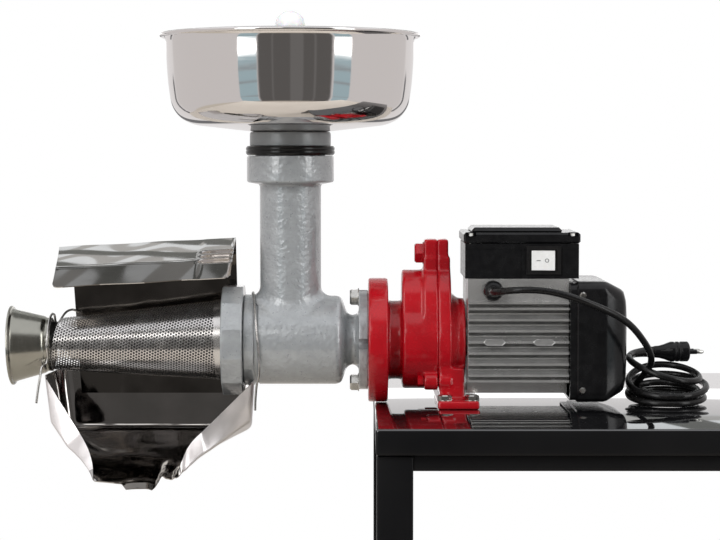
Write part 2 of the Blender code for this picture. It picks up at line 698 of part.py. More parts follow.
def shafts():
    """The output shaft with its square socket, its two bearings, and the screw's bush."""
    axis = (0, 0, MILL_Z)
    outline = [
        (0, -0.0370), (0.0100, -0.0370), (0.0100, -0.0775), (0.0148, -0.0775), (0.0148, -0.0915),
        (0, -0.0915),
    ]
    shaft = turned("output_shaft", outline, "iron", axis, "X", 24)
    socket = 0.0066
    cut(shaft, box("socket", (-0.0930, -socket, MILL_Z - socket), (-0.0815, socket, MILL_Z + socket), None))
    ring("output_bearing_front", 0.0103, 0.0210, -0.0765, -0.0665, "iron", axis, "X", 24)
    ring("output_bearing_rear", 0.0103, 0.0210, -0.0645, -0.0545, "iron", axis, "X", 24)
    ring("auger_bush", 0.0105, 0.0140, -0.1235, -0.0965, "bronze", axis, "X", 24)


# ---------------------------------------------------------------- motor
def motor_frame():
    """The finned housing, with pads for the switch box above and the feet below."""
    valley, tip, rib = 0.0500, 0.0580, 0.0012
    left, right = FRAME_LEFT + GAP, FRAME_RIGHT - GAP
    frame = box("motor_frame", (FRAME_LEFT, -valley, 0.0250), (FRAME_RIGHT, valley, 0.1328), "aluminium")
    join(frame, box("bottom_pad", (left, -0.0340, 0.0130), (right, 0.0340, 0.0300), None))
    for number, z in enumerate([0.0278] + [0.0335 + 0.01147 * k for k in range(7)] + [0.1083]):
        join(frame, box(f"fin_{number + 1}", (left, -tip, z - rib), (right, tip, z + rib), None))
    axis = (0, 0, MOTOR_Z)
    join(frame, rod("motor_boss", 0.0188, -0.0020, 0.0120, None, axis, "X", 32))
    cut(frame, rod("stator_seat", 0.0463, 0.0143, 0.1300, None, axis, "X", 32),
        rod("front_bearing_seat", 0.0163, -0.0030, 0.0097, None, axis, "X", 24),
        rod("front_shaft_hole", 0.0082, -0.0100, 0.0200, None, axis, "X", 20),
        rod("gland_hole", 0.0064, -0.0600, -0.0400, None, (0.0353, 0, 0.1212), "Y", 16))
    for number, x in enumerate((0.0260, 0.0770)):
        pad = [
            (x, 0.0679), (x + 0.003, 0.0709), (x + 0.019, 0.0709), (x + 0.022, 0.0679),
            (x + 0.019, 0.0649), (x + 0.003, 0.0649),
        ]
        for way in (-1, 1):
            mark = plate(f"cast_pad_{number}_{way}", [[(u, -v) for u, v in pad]], -0.0047, 0.0046, None, "Z")
            mark.rotation_euler = (-math.pi / 2, 0, 0)
            mark.location = (0, way * 0.0540, 0)
            join(frame, to_mesh(mark))


def motor_insides():
    """Rotor, stator, winding, bearings, end shield and fan."""
    axis = (0, 0, MOTOR_Z)
    ring("rotor_core", 0.0078, 0.0243, 0.0350, 0.0950, "iron", axis, "X", 24)
    ring("stator_core", 0.0270, 0.0459, 0.0350, 0.0950, "iron", axis, "X", 32)
    winding = [
        (0.0430, 0.1070), (0.0430, 0.0955), (0.0266, 0.0955), (0.0266, 0.0345), (0.0430, 0.0345),
        (0.0430, 0.0200), (0.0250, 0.0200), (0.0250, 0.1070),
    ]
    turned("stator_winding", winding, "copper", axis, "X", 24)
    ring("motor_bearing_front", 0.0078, 0.0160, 0.0005, 0.0095, "iron", axis, "X", 24)
    ring("motor_bearing_rear", 0.0078, 0.0160, 0.1092, 0.1182, "iron", axis, "X", 24)
    shield = [
        (0.0459, 0.1136), (0.0459, 0.1112), (0.0195, 0.1112), (0.0195, 0.1088), (0.0163, 0.1088),
        (0.0163, 0.1186), (0.0082, 0.1186), (0.0082, 0.1212), (0.0195, 0.1212), (0.0195, 0.1136),
    ]
    turned("end_shield", shield, "aluminium", axis, "X", 24)
    fan = ring("cooling_fan", 0.0079, 0.0130, 0.1300, 0.1420, "black_plastic", axis, "X", 20)
    join(fan, ring("fan_disc", 0.0115, 0.0460, 0.1302, 0.1320, None, axis, "X", 20))
    for k in range(5):
        low, high = (0.1310, -0.0009, MOTOR_Z + 0.0105), (0.1430, 0.0009, MOTOR_Z + 0.0450)
        blade = box(f"blade_{k + 1}", low, high, None)
        turn_about_axis(blade, MOTOR_Z, k * 2 * math.pi / 5)
        join(fan, blade)


def turn_about_axis(obj, axis_z, angle):
    """Turn an object about the line along X at a height."""
    arm = obj.location - Vector((obj.location.x, 0, axis_z))
    y = arm.y * math.cos(angle) - arm.z * math.sin(angle)
    z = arm.y * math.sin(angle) + arm.z * math.cos(angle)
    obj.location = (obj.location.x, y, axis_z + z)
    obj.rotation_euler = (angle, 0, 0)


def fan_cover():
    """The black cup over the fan, its corners cut back towards its end, and its four side screws."""
    start, shoulder, brow, end = FRAME_RIGHT + 0.0004, 0.1490, 0.1705, 0.1762
    wall = 0.0025
    outer = [(start, 0.0620, 0.012), (shoulder, 0.0620, 0.012), (brow, 0.0520, 0.014), (end, 0.0300, 0.012)]
    inner = [(x - (wall if x > start else 0), h - wall, c - 0.002) for x, h, c in outer]
    loops = [rounded_square(x, h, h, c, MOTOR_Z) for x, h, c in inner[::-1] + outer]
    cover = loft("fan_cover", loops, "black_plastic")
    number = 0
    for way in (-1, 1):
        for z in (0.0185, 0.1165):
            number += 1
            x = 0.1272
            side = (x, way * 0.0620, z)
            cut(cover, rod(f"side_hole_{number}", 0.0023, -0.010, 0.010, None, side, "Y", 12))
            face = way * (0.0620 + GAP)
            crown = face + way * 0.0016
            outline = [
                (0, crown), (0.0024, crown), (0.0036, face), (0.0020, face),
                (0.0020, way * 0.0560), (0, way * 0.0560),
            ]
            turned(f"fan_cover_screw_{number}", outline, "zinc", (x, 0, z), "Y", 12)


# ---------------------------------------------------------------- switch box and cord
def terminal_box():
    """The black switch box on the motor, its lid and lid screws, and the capacitor inside."""
    left, right, floor, top, wall = 0.0070, 0.1240, 0.1331, 0.1688, 0.0025
    half = BOX_HALF_Y
    case = box("terminal_box", (left, -half, floor), (right, half, top), "black_plastic")
    low, high = (left + wall, -half + wall, floor + wall), (right - wall, half - wall, top + 0.01)
    cut(case, box("inside", low, high, None))
    posts = [(x, y) for x in (0.0130, 0.1180) for y in (-0.0440, 0.0440)]
    for k, (x, y) in enumerate(posts):
        join(case, rod(f"post_{k + 1}", 0.0045, floor + 0.001, top, None, (x, y, 0), "Z", 12))
    for k, (x, y) in enumerate(posts):
        cut(case, rod(f"post_hole_{k + 1}", 0.0023, 0.1590, top + 0.01, None, (x, y, 0), "Z", 12))
    cut(case, box("switch_hole", (0.0727, -0.0600, 0.1392), (0.1023, -0.0400, 0.1645), None))

    over = 0.0015
    low, high = (left - over, -half - over, top + GAP), (right + over, half + over, 0.1803)
    lid = box("terminal_lid", low, high, "black_plastic", 0.0020)
    join(lid, box("dome", (0.0140, -0.0400, 0.1780), (0.1080, 0.0400, 0.1852), None, 0.0035))
    for k, (x, y) in enumerate(posts):
        cut(lid, rod(f"lid_pocket_{k + 1}", 0.0052, 0.1765, 0.1850, None, (x, y, 0), "Z", 12),
            rod(f"lid_hole_{k + 1}", 0.0023, 0.1600, 0.1800, None, (x, y, 0), "Z", 12))
        outline = [
            (0, 0.1794), (0.0025, 0.1794), (0.0038, 0.1768), (0.0020, 0.1768), (0.0020, 0.1600), (0, 0.1600),
        ]
        turned(f"lid_screw_{k + 1}", outline, "zinc", (x, y, 0), "Z", 12)
    rod("capacitor", 0.0150, 0.0200, 0.0660, "black_plastic", (0, 0.0120, 0.1520), "X", 20)


def switch():
    """The rocker switch: a black frame in the box's wall and a white rocker that tips about Z."""
    low, high = (0.0700, -0.0525, 0.1375), (0.1056, -BOX_HALF_Y - GAP, 0.1665)
    frame = box("switch_frame", low, high, "black_plastic")
    join(frame, box("switch_body", (0.0730, -0.0510, 0.1395), (0.1020, -0.0380, 0.1642), None))
    cut(frame, box("rocker_room", (0.0744, -0.0600, 0.1411), (0.1006, -0.0405, 0.1626), None))
    half, tilt = 0.0119, math.radians(9)
    outline = [
        (-half, -0.0042), (0.0, -0.0028), (half, -0.0042), (half, 0.0010),
        (0.0050, 0.0060), (-0.0050, 0.0060), (-half, 0.0010),
    ]
    rocker = plate("switch_rocker", [outline], 0.1418, 0.1619, "white_plastic", "Z", (0.0875, -0.0505, 0))
    rocker.rotation_euler = (0, 0, -tilt)


def cord():
    """The mains lead: its gland, the free stretch, the coil that the rest lies in, and the plug."""
    mouth = Vector((0.0353, -0.0740, 0.1212))
    outline = [
        (0, -0.0430), (0.0061, -0.0430), (0.0061, -BOX_HALF_Y - GAP), (0.0098, -BOX_HALF_Y - GAP),
        (0.0098, -0.0560), (0.0090, -0.0566), (0.0102, -0.0572), (0.0102, -0.0650), (0.0080, -0.0690),
        (0.0062, -0.0700),
        (0.0055, mouth.y), (0, mouth.y),
    ]
    turned("cable_gland", outline, "black_plastic", (mouth.x, 0, mouth.z), "Y", 12)
    route = [
        (0.0353, -0.0743, 0.1212), (0.0355, -0.0810, 0.1213), (0.0372, -0.0890, 0.1220),
        (0.0420, -0.0980, 0.1234), (0.0510, -0.1060, 0.1250), (0.0640, -0.1100, 0.1254),
        (0.0894, -0.1115, 0.1238), (0.1135, -0.1100, 0.1172), (0.1390, -0.1050, 0.1074),
        (0.1598, -0.0970, 0.0975), (0.1752, -0.0870, 0.0860), (0.1852, -0.0770, 0.0735),
        (0.1940, -0.0660, 0.0620), (0.1990, -0.0550, 0.0510), (0.2030, -0.0440, COIL_TOP + CORD_R),
    ]
    tube("power_cord", smooth_route(route, 0.008), CORD_R, "rubber")
    ring("cord_coil", 0.0180, 0.0415, 0.0002, COIL_TOP, "rubber", (*COIL_CENTRE, 0), "Z", 24)

    heading = math.radians(7)
    plug = [
        (0, -0.0180), (0.0060, -0.0180), (0.0080, -0.0060), (0.0105, 0.0000), (0.0105, 0.0200), (0, 0.0200),
    ]
    spot = (0.2289, 0.0220, COIL_TOP + GAP + 0.0106)
    body = turned("power_plug", plug, "black_plastic", spot, "X", 16)
    for side in (-1, 1):
        join(body, rod(f"pin_{side}", 0.0020, 0.0190, 0.0350, None, spot, "X", 8))
        pin = CUTTERS.objects[f"pin_{side}"]
        pin.location = Vector(spot) + Vector((-math.sin(heading), math.cos(heading), 0)) * side * 0.0060
        pin.rotation_euler = (0, math.pi / 2, heading)
    body.rotation_euler = (0, math.pi / 2, heading)


def main():
    start()
    mill_body()
    flange_bolts()
    auger()
    screen()
    hopper()
    drip_tray()
    splash_hood()
    wire_clips()
    gearbox()
    shafts()
    gears()
    motor_frame()
    motor_insides()
    fan_cover()
    terminal_box()
    switch()
    cord()


main()
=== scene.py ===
"""Looks for the electric fruit mill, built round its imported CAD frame.

Metres, +Z up, in the CAD's own frame: +X runs from the waste funnel to the motor, and +Y away from
the switch. The screw's axis and the motor's axis run along X.
"""

import math

import bmesh
import bpy
from mathutils import Matrix, Vector, noise


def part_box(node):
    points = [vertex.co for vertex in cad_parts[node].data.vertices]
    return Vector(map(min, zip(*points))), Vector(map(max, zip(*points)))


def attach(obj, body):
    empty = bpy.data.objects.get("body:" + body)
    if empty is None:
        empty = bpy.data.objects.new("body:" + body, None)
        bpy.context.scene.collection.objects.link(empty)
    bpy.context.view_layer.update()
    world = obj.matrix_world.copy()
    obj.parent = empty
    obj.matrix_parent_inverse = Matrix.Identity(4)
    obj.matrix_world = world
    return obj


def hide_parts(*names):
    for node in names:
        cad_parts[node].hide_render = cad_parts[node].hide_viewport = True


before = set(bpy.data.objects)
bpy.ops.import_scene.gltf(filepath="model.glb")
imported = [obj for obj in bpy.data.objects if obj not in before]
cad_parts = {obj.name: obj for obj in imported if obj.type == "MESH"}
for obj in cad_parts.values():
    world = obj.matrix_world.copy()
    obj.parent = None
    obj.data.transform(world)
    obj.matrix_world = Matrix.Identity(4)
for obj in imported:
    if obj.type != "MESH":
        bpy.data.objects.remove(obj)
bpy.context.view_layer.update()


def middle(node):
    """The centre of a CAD node's box."""
    low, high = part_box(node)
    return (low + high) / 2


MILL_Z = middle("ring_nut").z
MOTOR_Z = middle("motor_bearing_front").z
HOPPER = Vector((middle("hopper_seal").x, 0, 0))
MILL_AXIS = Vector((0, 0, MILL_Z))
MOTOR_AXIS = Vector((0, 0, MOTOR_Z))
CONE_PIVOT = Vector((-0.24, 0, MILL_Z))
CONE_DROOP = math.radians(1.5)


# ---------------------------------------------------------------- materials
LOOKS = {}


class Paint:
    """A Principled material, kept in LOOKS, and the nodes that give its surface detail."""

    def __init__(self, look, name, colour, roughness, metallic=0.0):
        mat = LOOKS[look] = bpy.data.materials.new(name)
        mat.use_nodes = True
        self.nodes = mat.node_tree.nodes
        self.links = mat.node_tree.links
        self.shader = self.nodes["Principled BSDF"]
        self.colour = colour
        self.shader.inputs["Base Color"].default_value = (*colour, 1)
        self.shader.inputs["Roughness"].default_value = roughness
        self.shader.inputs["Metallic"].default_value = metallic
        self.normal = None
        self.place = self.nodes.new("ShaderNodeTexCoord")

    def set(self, **sockets):
        """Constant values, each by its socket's name with _ for a space."""
        for name, value in sockets.items():
            self.shader.inputs[name.replace("_", " ")].default_value = value
        return self

    def noise(self, scale, detail=2.0, stretch=(1, 1, 1), roughness=0.5):
        """A noise in the object's own metres, stretched along its axes."""
        fit = self.nodes.new("ShaderNodeMapping")
        fit.inputs["Scale"].default_value = stretch
        tex = self.nodes.new("ShaderNodeTexNoise")
        tex.inputs["Scale"].default_value = scale
        tex.inputs["Detail"].default_value = detail
        tex.inputs["Roughness"].default_value = roughness
        self.links.new(self.place.outputs["Object"], fit.inputs["Vector"])
        self.links.new(fit.outputs["Vector"], tex.inputs["Vector"])
        return tex.outputs["Fac"]

    def spread(self, value, low, high, start=0.3, end=0.7):
        """Map a noise to a range."""
        fit = self.nodes.new("ShaderNodeMapRange")
        fit.inputs["From Min"].default_value = start
        fit.inputs["From Max"].default_value = end
        fit.inputs["To Min"].default_value = low
        fit.inputs["To Max"].default_value = high
        self.links.new(value, fit.inputs["Value"])
        return fit.outputs["Result"]

    def vary(self, scale, other, stretch=(1, 1, 1), start=0.35, end=0.65):
        """Drift from the base colour towards another."""
        mix = self.nodes.new("ShaderNodeMix")
        mix.data_type = "RGBA"
        mix.inputs["A"].default_value = (*self.colour, 1)
        mix.inputs["B"].default_value = (*other, 1)
        share = self.spread(self.noise(scale, 3, stretch), 0, 1, start, end)
        self.links.new(share, mix.inputs["Factor"])
        self.links.new(mix.outputs["Result"], self.shader.inputs["Base Color"])
        return self

    def polish(self, scale, low, high, stretch=(1, 1, 1)):
        """Uneven roughness."""
        rough = self.spread(self.noise(scale, 3, stretch), low, high)
        self.links.new(rough, self.shader.inputs["Roughness"])
        return self

    def bump(self, scale, height, detail=2.0, stretch=(1, 1, 1), strength=1.0):
        """Raised and sunk spots of a height in metres, over any bump made before."""
        node = self.nodes.new("ShaderNodeBump")
        node.inputs["Distance"].default_value = height
        node.inputs["Strength"].default_value = strength
        self.links.new(self.noise(scale, detail, stretch), node.inputs["Height"])
        if self.normal:
            self.links.new(self.normal, node.inputs["Normal"])
        self.normal = node.outputs["Normal"]
        self.links.new(self.normal, self.shader.inputs["Normal"])
        return self


def make_materials():
    """Every material of the machine itself."""
    cast = Paint("cast", "cast_grey_paint", (0.36, 0.375, 0.385), 0.34, 0.25)
    cast.set(Coat_Weight=1.0, Coat_Roughness=0.05)
    cast.vary(90, (0.31, 0.325, 0.335)).polish(300, 0.26, 0.44)
    cast.bump(230, 0.001, 1, strength=0.9).bump(110, 0.0007, 1, strength=0.12)

    spout = Paint("spout", "spout_grey", (0.27, 0.28, 0.285), 0.36, 0.25)
    spout.vary(60, (0.24, 0.25, 0.255)).polish(200, 0.3, 0.42).bump(700, 0.00012, 2, strength=0.4)

    red = Paint("red", "red_enamel", (0.4, 0.004, 0.01), 0.24)
    red.set(Coat_Weight=0.45, Coat_Roughness=0.06, Specular_IOR_Level=0.3)
    red.vary(40, (0.33, 0.003, 0.008)).polish(160, 0.18, 0.3)
    red.bump(110, 0.0011, 1, strength=0.18).bump(420, 0.00018, 1, strength=0.18)

    bowl = Paint("bowl", "bowl_steel", (0.78, 0.75, 0.735), 0.045, 1.0)
    bowl.polish(500, 0.035, 0.07, (0.05, 0.05, 1)).bump(26, 0.0004, 1, strength=0.1)

    sheet = Paint("sheet", "sheet_steel", (0.47, 0.45, 0.435), 0.07, 1.0)
    sheet.vary(30, (0.4, 0.385, 0.37)).polish(90, 0.04, 0.1).bump(34, 0.001, 2, strength=0.25)
    sheet.bump(13, 0.006, 1, strength=0.35)

    hood_steel = Paint("hood", "hood_steel", (0.58, 0.56, 0.545), 0.05, 1.0)
    hood_steel.vary(20, (0.53, 0.515, 0.5)).polish(60, 0.03, 0.06).bump(9, 0.0012, 1, strength=0.25)

    # painted shade: a darker steel for the front face of the hood's panel and for the tray's spout tip
    shade_steel = Paint("shade_steel", "steel_painted_shade", (0.2, 0.185, 0.17), 0.06, 1.0)
    shade_steel.vary(24, (0.12, 0.11, 0.1)).polish(60, 0.04, 0.1).bump(16, 0.002, 1, strength=0.35)
    shade_steel.bump(24, 0.006, 1, (1, 1, 0.1), 0.5)

    satin = Paint("satin", "satin_steel", (0.8, 0.77, 0.765), 0.36, 0.85)
    satin.vary(30, (0.74, 0.71, 0.705)).polish(90, 0.3, 0.42).bump(40, 0.0008, 2, strength=0.25)

    cone = Paint("cone", "perforated_steel", (0.72, 0.7, 0.685), 0.22, 0.95)
    cone.vary(60, (0.62, 0.6, 0.585)).polish(90, 0.16, 0.26)

    # painted shade: a near-black sheet inside the perforated cone, so that its holes look dark
    screen_shade = Paint("screen_shade", "screen_painted_shade", (0.03, 0.027, 0.024), 0.55, 0.3)
    screen_shade.vary(80, (0.05, 0.044, 0.038)).bump(500, 0.0001, strength=0.4)

    funnel = Paint("funnel", "funnel_steel", (0.4, 0.39, 0.345), 0.18, 1.0)
    funnel.vary(25, (0.34, 0.335, 0.295)).polish(240, 0.16, 0.26, (6, 0.4, 0.4))
    funnel.bump(900, 0.00002, 2, (4, 0.15, 0.15), 0.3)

    wire = Paint("wire", "wire_steel", (0.58, 0.56, 0.54), 0.22, 1.0)
    wire.vary(200, (0.45, 0.44, 0.42)).bump(900, 0.00004, strength=0.4)

    zinc = Paint("zinc", "zinc_plate", (0.6, 0.59, 0.56), 0.2, 1.0)
    zinc.vary(260, (0.52, 0.51, 0.48)).polish(500, 0.12, 0.28).bump(800, 0.00004, strength=0.4)

    motor = Paint("motor", "motor_grey", (0.68, 0.675, 0.66), 0.24, 0.8)
    motor.vary(90, (0.6, 0.595, 0.585)).polish(60, 0.2, 0.28)
    motor.bump(110, 0.0003, 1, strength=0.06)

    # painted shade: a near-black grey for the faces under the motor's fins that look downwards
    shade = Paint("shade", "motor_painted_shade", (0.1, 0.1, 0.098), 0.45, 0.6)
    shade.vary(90, (0.16, 0.16, 0.155)).bump(110, 0.0003, 1, strength=0.06)

    black = Paint("black", "black_plastic", (0.0045, 0.0045, 0.005), 0.2)
    black.set(Specular_IOR_Level=0.28)
    black.vary(120, (0.008, 0.008, 0.0085)).polish(260, 0.14, 0.24).bump(1400, 0.00003, strength=0.3)

    dull = Paint("dull", "dull_black", (0.006, 0.006, 0.006), 0.4)
    dull.set(Specular_IOR_Level=0.25)
    dull.vary(300, (0.011, 0.01, 0.01)).bump(1600, 0.00008, strength=0.5)

    white = Paint("white", "white_plastic", (0.8, 0.8, 0.79), 0.24)
    white.vary(90, (0.76, 0.76, 0.745)).polish(200, 0.2, 0.3)

    knob = Paint("knob", "milky_plastic", (0.84, 0.85, 0.86), 0.22)
    knob.set(Subsurface_Weight=0.3, Subsurface_Scale=0.005)
    knob.vary(60, (0.8, 0.81, 0.83))

    rubber = Paint("rubber", "cord_rubber", (0.0045, 0.0045, 0.005), 0.24)
    rubber.set(Specular_IOR_Level=0.3)
    rubber.vary(400, (0.009, 0.0085, 0.008)).polish(300, 0.18, 0.3).bump(900, 0.00004, strength=0.4)

    seal = Paint("seal", "seal_rubber", (0.004, 0.004, 0.004), 0.2)
    seal.set(Specular_IOR_Level=0.3)
    seal.vary(200, (0.008, 0.008, 0.008)).bump(600, 0.00006, strength=0.4)

    mark = Paint("mark", "switch_mark", (0.1, 0.1, 0.1), 0.5)
    mark.vary(900, (0.14, 0.14, 0.14))

    # painted shade: the auger's alloy is darkened because it sits in the shade inside the cone
    alloy = Paint("alloy", "auger_alloy", (0.2, 0.2, 0.195), 0.42, 0.9)
    alloy.vary(150, (0.15, 0.15, 0.145)).polish(300, 0.28, 0.45).bump(500, 0.0002, strength=0.4)

    iron = Paint("iron", "oiled_steel", (0.34, 0.34, 0.35), 0.3, 1.0)
    iron.vary(180, (0.26, 0.26, 0.27)).polish(260, 0.24, 0.42).bump(700, 0.00008, strength=0.4)

    bronze = Paint("bronze", "bush_bronze", (0.55, 0.36, 0.18), 0.35, 1.0)
    bronze.vary(200, (0.45, 0.29, 0.14)).bump(800, 0.00008, strength=0.4)

    copper = Paint("copper", "winding_copper", (0.6, 0.26, 0.13), 0.35, 1.0)
    copper.vary(150, (0.45, 0.18, 0.09)).bump(700, 0.0006, 1, (1, 6, 6), 0.8)

    can = Paint("can", "capacitor_can", (0.5, 0.5, 0.51), 0.45)
    can.vary(120, (0.45, 0.45, 0.46)).bump(900, 0.00006, strength=0.4)


# ---------------------------------------------------------------- mesh helpers
def build(name, shape, look, crease=32):
    """An object from a bmesh, smooth but for the edges sharper than `crease` degrees."""
    bmesh.ops.recalc_face_normals(shape, faces=shape.faces)
    mesh = bpy.data.meshes.new(name)
    shape.to_mesh(mesh)
    shape.free()
    return wrap(name, mesh, look, crease)


def wrap(name, mesh, look, crease=32):
    """An object from a mesh, smooth but for its sharp edges."""
    shape = bmesh.new()
    shape.from_mesh(mesh)
    for face in shape.faces:
        face.smooth = True
    for edge in shape.edges:
        edge.smooth = len(edge.link_faces) != 2 or edge.calc_face_angle() < math.radians(crease)
    shape.to_mesh(mesh)
    shape.free()
    mesh.materials.clear()
    if look:
        mesh.materials.append(LOOKS[look])
    obj = bpy.data.objects.new(name, mesh)
    bpy.context.scene.collection.objects.link(obj)
    return obj


def bake(obj, crease=32):
    """Apply an object's modifiers to its mesh."""
    bpy.context.view_layer.update()
    seen = obj.evaluated_get(bpy.context.evaluated_depsgraph_get())
    mesh = bpy.data.meshes.new_from_object(seen)
    mesh.transform(obj.matrix_world)
    name = obj.name
    look = next((k for k, m in LOOKS.items() if obj.data.materials and obj.data.materials[0] == m), None)
    drop(obj)
    return wrap(name, mesh, look, crease)


def drop(*objs):
    """Remove objects."""
    for obj in objs:
        bpy.data.objects.remove(obj, do_unlink=True)


def carve(obj, *tools, crease=32):
    """Cut tools away from an object, and remove the tools."""
    for tool in tools:
        step = obj.modifiers.new("carve", "BOOLEAN")
        step.operation = "DIFFERENCE"
        step.object = tool
        step.solver = "EXACT"
    made = bake(obj, crease)
    drop(*tools)
    return made


def together(name, objs, look=None, crease=32):
    """One object that holds several meshes as they are."""
    shape = bmesh.new()
    for obj in objs:
        obj.data.transform(obj.matrix_world)
        shape.from_mesh(obj.data)
    look = look or next(k for k, m in LOOKS.items() if objs[0].data.materials[0] == m)
    mesh = bpy.data.meshes.new(name)
    shape.to_mesh(mesh)
    shape.free()
    drop(*objs)
    return wrap(name, mesh, look, crease)


def rounded(points, radii, steps=5):
    """A closed outline with its corners rounded; radii is one number or one for each point."""
    if isinstance(radii, (int, float)):
        radii = [radii] * len(points)
    out = []
    for i, here in enumerate(points):
        here = Vector(here)
        before, after = Vector(points[i - 1]), Vector(points[(i + 1) % len(points)])
        a, b = before - here, after - here
        reach = min(radii[i], a.length * 0.49, b.length * 0.49)
        if reach < 1e-6:
            out.append(tuple(here))
            continue
        start, end = here + a.normalized() * reach, here + b.normalized() * reach
        for k in range(steps + 1):
            t = k / steps
            out.append(tuple(start * (1 - t) ** 2 + here * 2 * t * (1 - t) + end * t * t))
    return out


def lathe(name, outline, look, origin=(0, 0, 0), along="Z", steps=96, crease=32, spin=0.0):
    """Turn a closed (radius, height) outline about an axis through origin."""
    shape = bmesh.new()
    origin = Vector(origin)
    rings = []
    for r, h in outline:
        if r < 1e-7:
            spots = [Vector((0, 0, h))]
        else:
            spots = [
                Vector((r * math.cos(a), r * math.sin(a), h))
                for a in (spin + 2 * math.pi * k / steps for k in range(steps))
            ]
        order = {"X": (2, 1, 0), "Y": (1, 2, 0), "Z": (0, 1, 2)}[along]
        rings.append([shape.verts.new(origin + Vector([p[i] for i in order])) for p in spots])
    for one, two in zip(rings, rings[1:] + rings[:1], strict=True):
        if len(one) == 1 and len(two) == 1:
            continue
        for k in range(steps):
            j = (k + 1) % steps
            corners = [one[k % len(one)], one[j % len(one)], two[j % len(two)], two[k % len(two)]]
            face = list(dict.fromkeys(corners))
            if len(face) > 2:
                shape.faces.new(face)
    return build(name, shape, look, crease)


def block(name, low, high, look, radius=0.001, segments=3):
    """A box with rounded edges."""
    size = [h - l for l, h in zip(low, high, strict=True)]
    place = [(l + h) / 2 for l, h in zip(low, high, strict=True)]
    shape = bmesh.new()
    bmesh.ops.create_cube(shape, size=1.0)
    bmesh.ops.scale(shape, vec=size, verts=shape.verts)
    bmesh.ops.translate(shape, vec=place, verts=shape.verts)
    if radius:
        soften(shape, list(shape.edges), radius, segments, False)
    return build(name, shape, look)


def soften(shape, edges, radius, segments, clamp=True):
    """Round some edges of a bmesh."""
    bmesh.ops.bevel(
        shape, geom=edges, offset=radius, segments=segments, affect="EDGES", profile=0.5, clamp_overlap=clamp
    )


def prism(name, outline, low, high, look, along="X", radius=0.0, crease=32):
    """A flat outline made thick along an axis, its rims rounded.

    Along X the points are (y, z), along Y (x, z) and along Z (x, y).
    """
    shape = bmesh.new()
    slot = "XYZ".index(along)
    ends = []
    for h in (low, high):
        spots = [(*point[:slot], h, *point[slot:]) for point in outline]
        ends.append([shape.verts.new(spot) for spot in spots])
    count = len(outline)
    for i in range(count):
        j = (i + 1) % count
        shape.faces.new((ends[0][i], ends[0][j], ends[1][j], ends[1][i]))
    caps = [shape.faces.new(ends[0][::-1]), shape.faces.new(ends[1])]
    bmesh.ops.recalc_face_normals(shape, faces=shape.faces)
    if radius:
        soften(shape, [e for cap in caps for e in cap.edges], radius, 3)
    return build(name, shape, look, crease)


def polygon(centre, radius, count):
    """Points spaced evenly on a circle."""
    angles = [2 * math.pi * k / count for k in range(count)]
    return [(centre[0] + radius * math.cos(a), centre[1] + radius * math.sin(a)) for a in angles]


def tube(name, points, radius, look, smooth=True, sides=4):
    """A round wire through a list of points."""
    curve = bpy.data.curves.new(name, "CURVE")
    curve.dimensions = "3D"
    curve.bevel_depth = radius
    curve.bevel_resolution = sides
    curve.resolution_u = 10
    curve.use_fill_caps = True
    spline = curve.splines.new("BEZIER" if smooth else "POLY")
    if smooth:
        spline.bezier_points.add(len(points) - 1)
        for point, co in zip(spline.bezier_points, points, strict=True):
            point.co = co
            point.handle_left_type = point.handle_right_type = "AUTO"
    else:
        spline.points.add(len(points) - 1)
        for point, co in zip(spline.points, points, strict=True):
            point.co = (*co, 1)
    curve.materials.append(LOOKS[look])
    obj = bpy.data.objects.new(name, curve)
    bpy.context.scene.collection.objects.link(obj)
    return obj


def turn(obj, axis, angle, about):
    """Turn an object's mesh about a line through a point."""
    spin = Matrix.Rotation(angle, 4, axis)
    shift = Matrix.Translation(Vector(about))
    obj.data.transform(shift @ spin @ shift.inverted())
    return obj


MELT_VOXEL = 0.00115
MELT_SMOOTHING = 18
MELT_CREASE = 75


def melted(name, objs, look):
    """Several overlapping solids melted into one casting with soft inner corners."""
    shape = bmesh.new()
    for obj in objs:
        shape.from_mesh(obj.data)
    mesh = bpy.data.meshes.new(name)
    shape.to_mesh(mesh)
    shape.free()
    drop(*objs)
    obj = bpy.data.objects.new(name, mesh)
    bpy.context.scene.collection.objects.link(obj)
    mesh.materials.append(LOOKS[look])
    melt = obj.modifiers.new("melt", "REMESH")
    melt.mode = "VOXEL"
    melt.voxel_size = MELT_VOXEL
    soft = obj.modifiers.new("soft", "SMOOTH")
    soft.factor = 0.5
    soft.iterations = MELT_SMOOTHING
    return bake(obj, MELT_CREASE)


def show(obj, body, slot, *nodes):
    """Ride on a body and stand for CAD nodes; the slot is not used."""
    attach(obj, body)
    if nodes:
        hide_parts(*nodes)
    return obj


def seen(slot, look, *nodes):
    """CAD nodes that keep their shape and take a better material."""
    for node in nodes:
        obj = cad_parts[node]
        obj.data.materials.clear()
        obj.data.materials.append(LOOKS[look])


# ---------------------------------------------------------------- camera, light and stage
def camera():
    """A long lens at the height of the hopper, looking a little down."""
    data = bpy.data.cameras.new("camera")
    data.lens = 102.85
    data.sensor_width = 36
    data.dof.use_dof = False
    cam = bpy.data.objects.new("camera", data)
    cam.location = (-0.101, -2.16, 0.266)
    cam.rotation_euler = (math.radians(86.634), 0, 0)
    bpy.context.scene.collection.objects.link(cam)
    bpy.context.scene.camera = cam
    bpy.context.scene.view_settings.view_transform = "Standard"


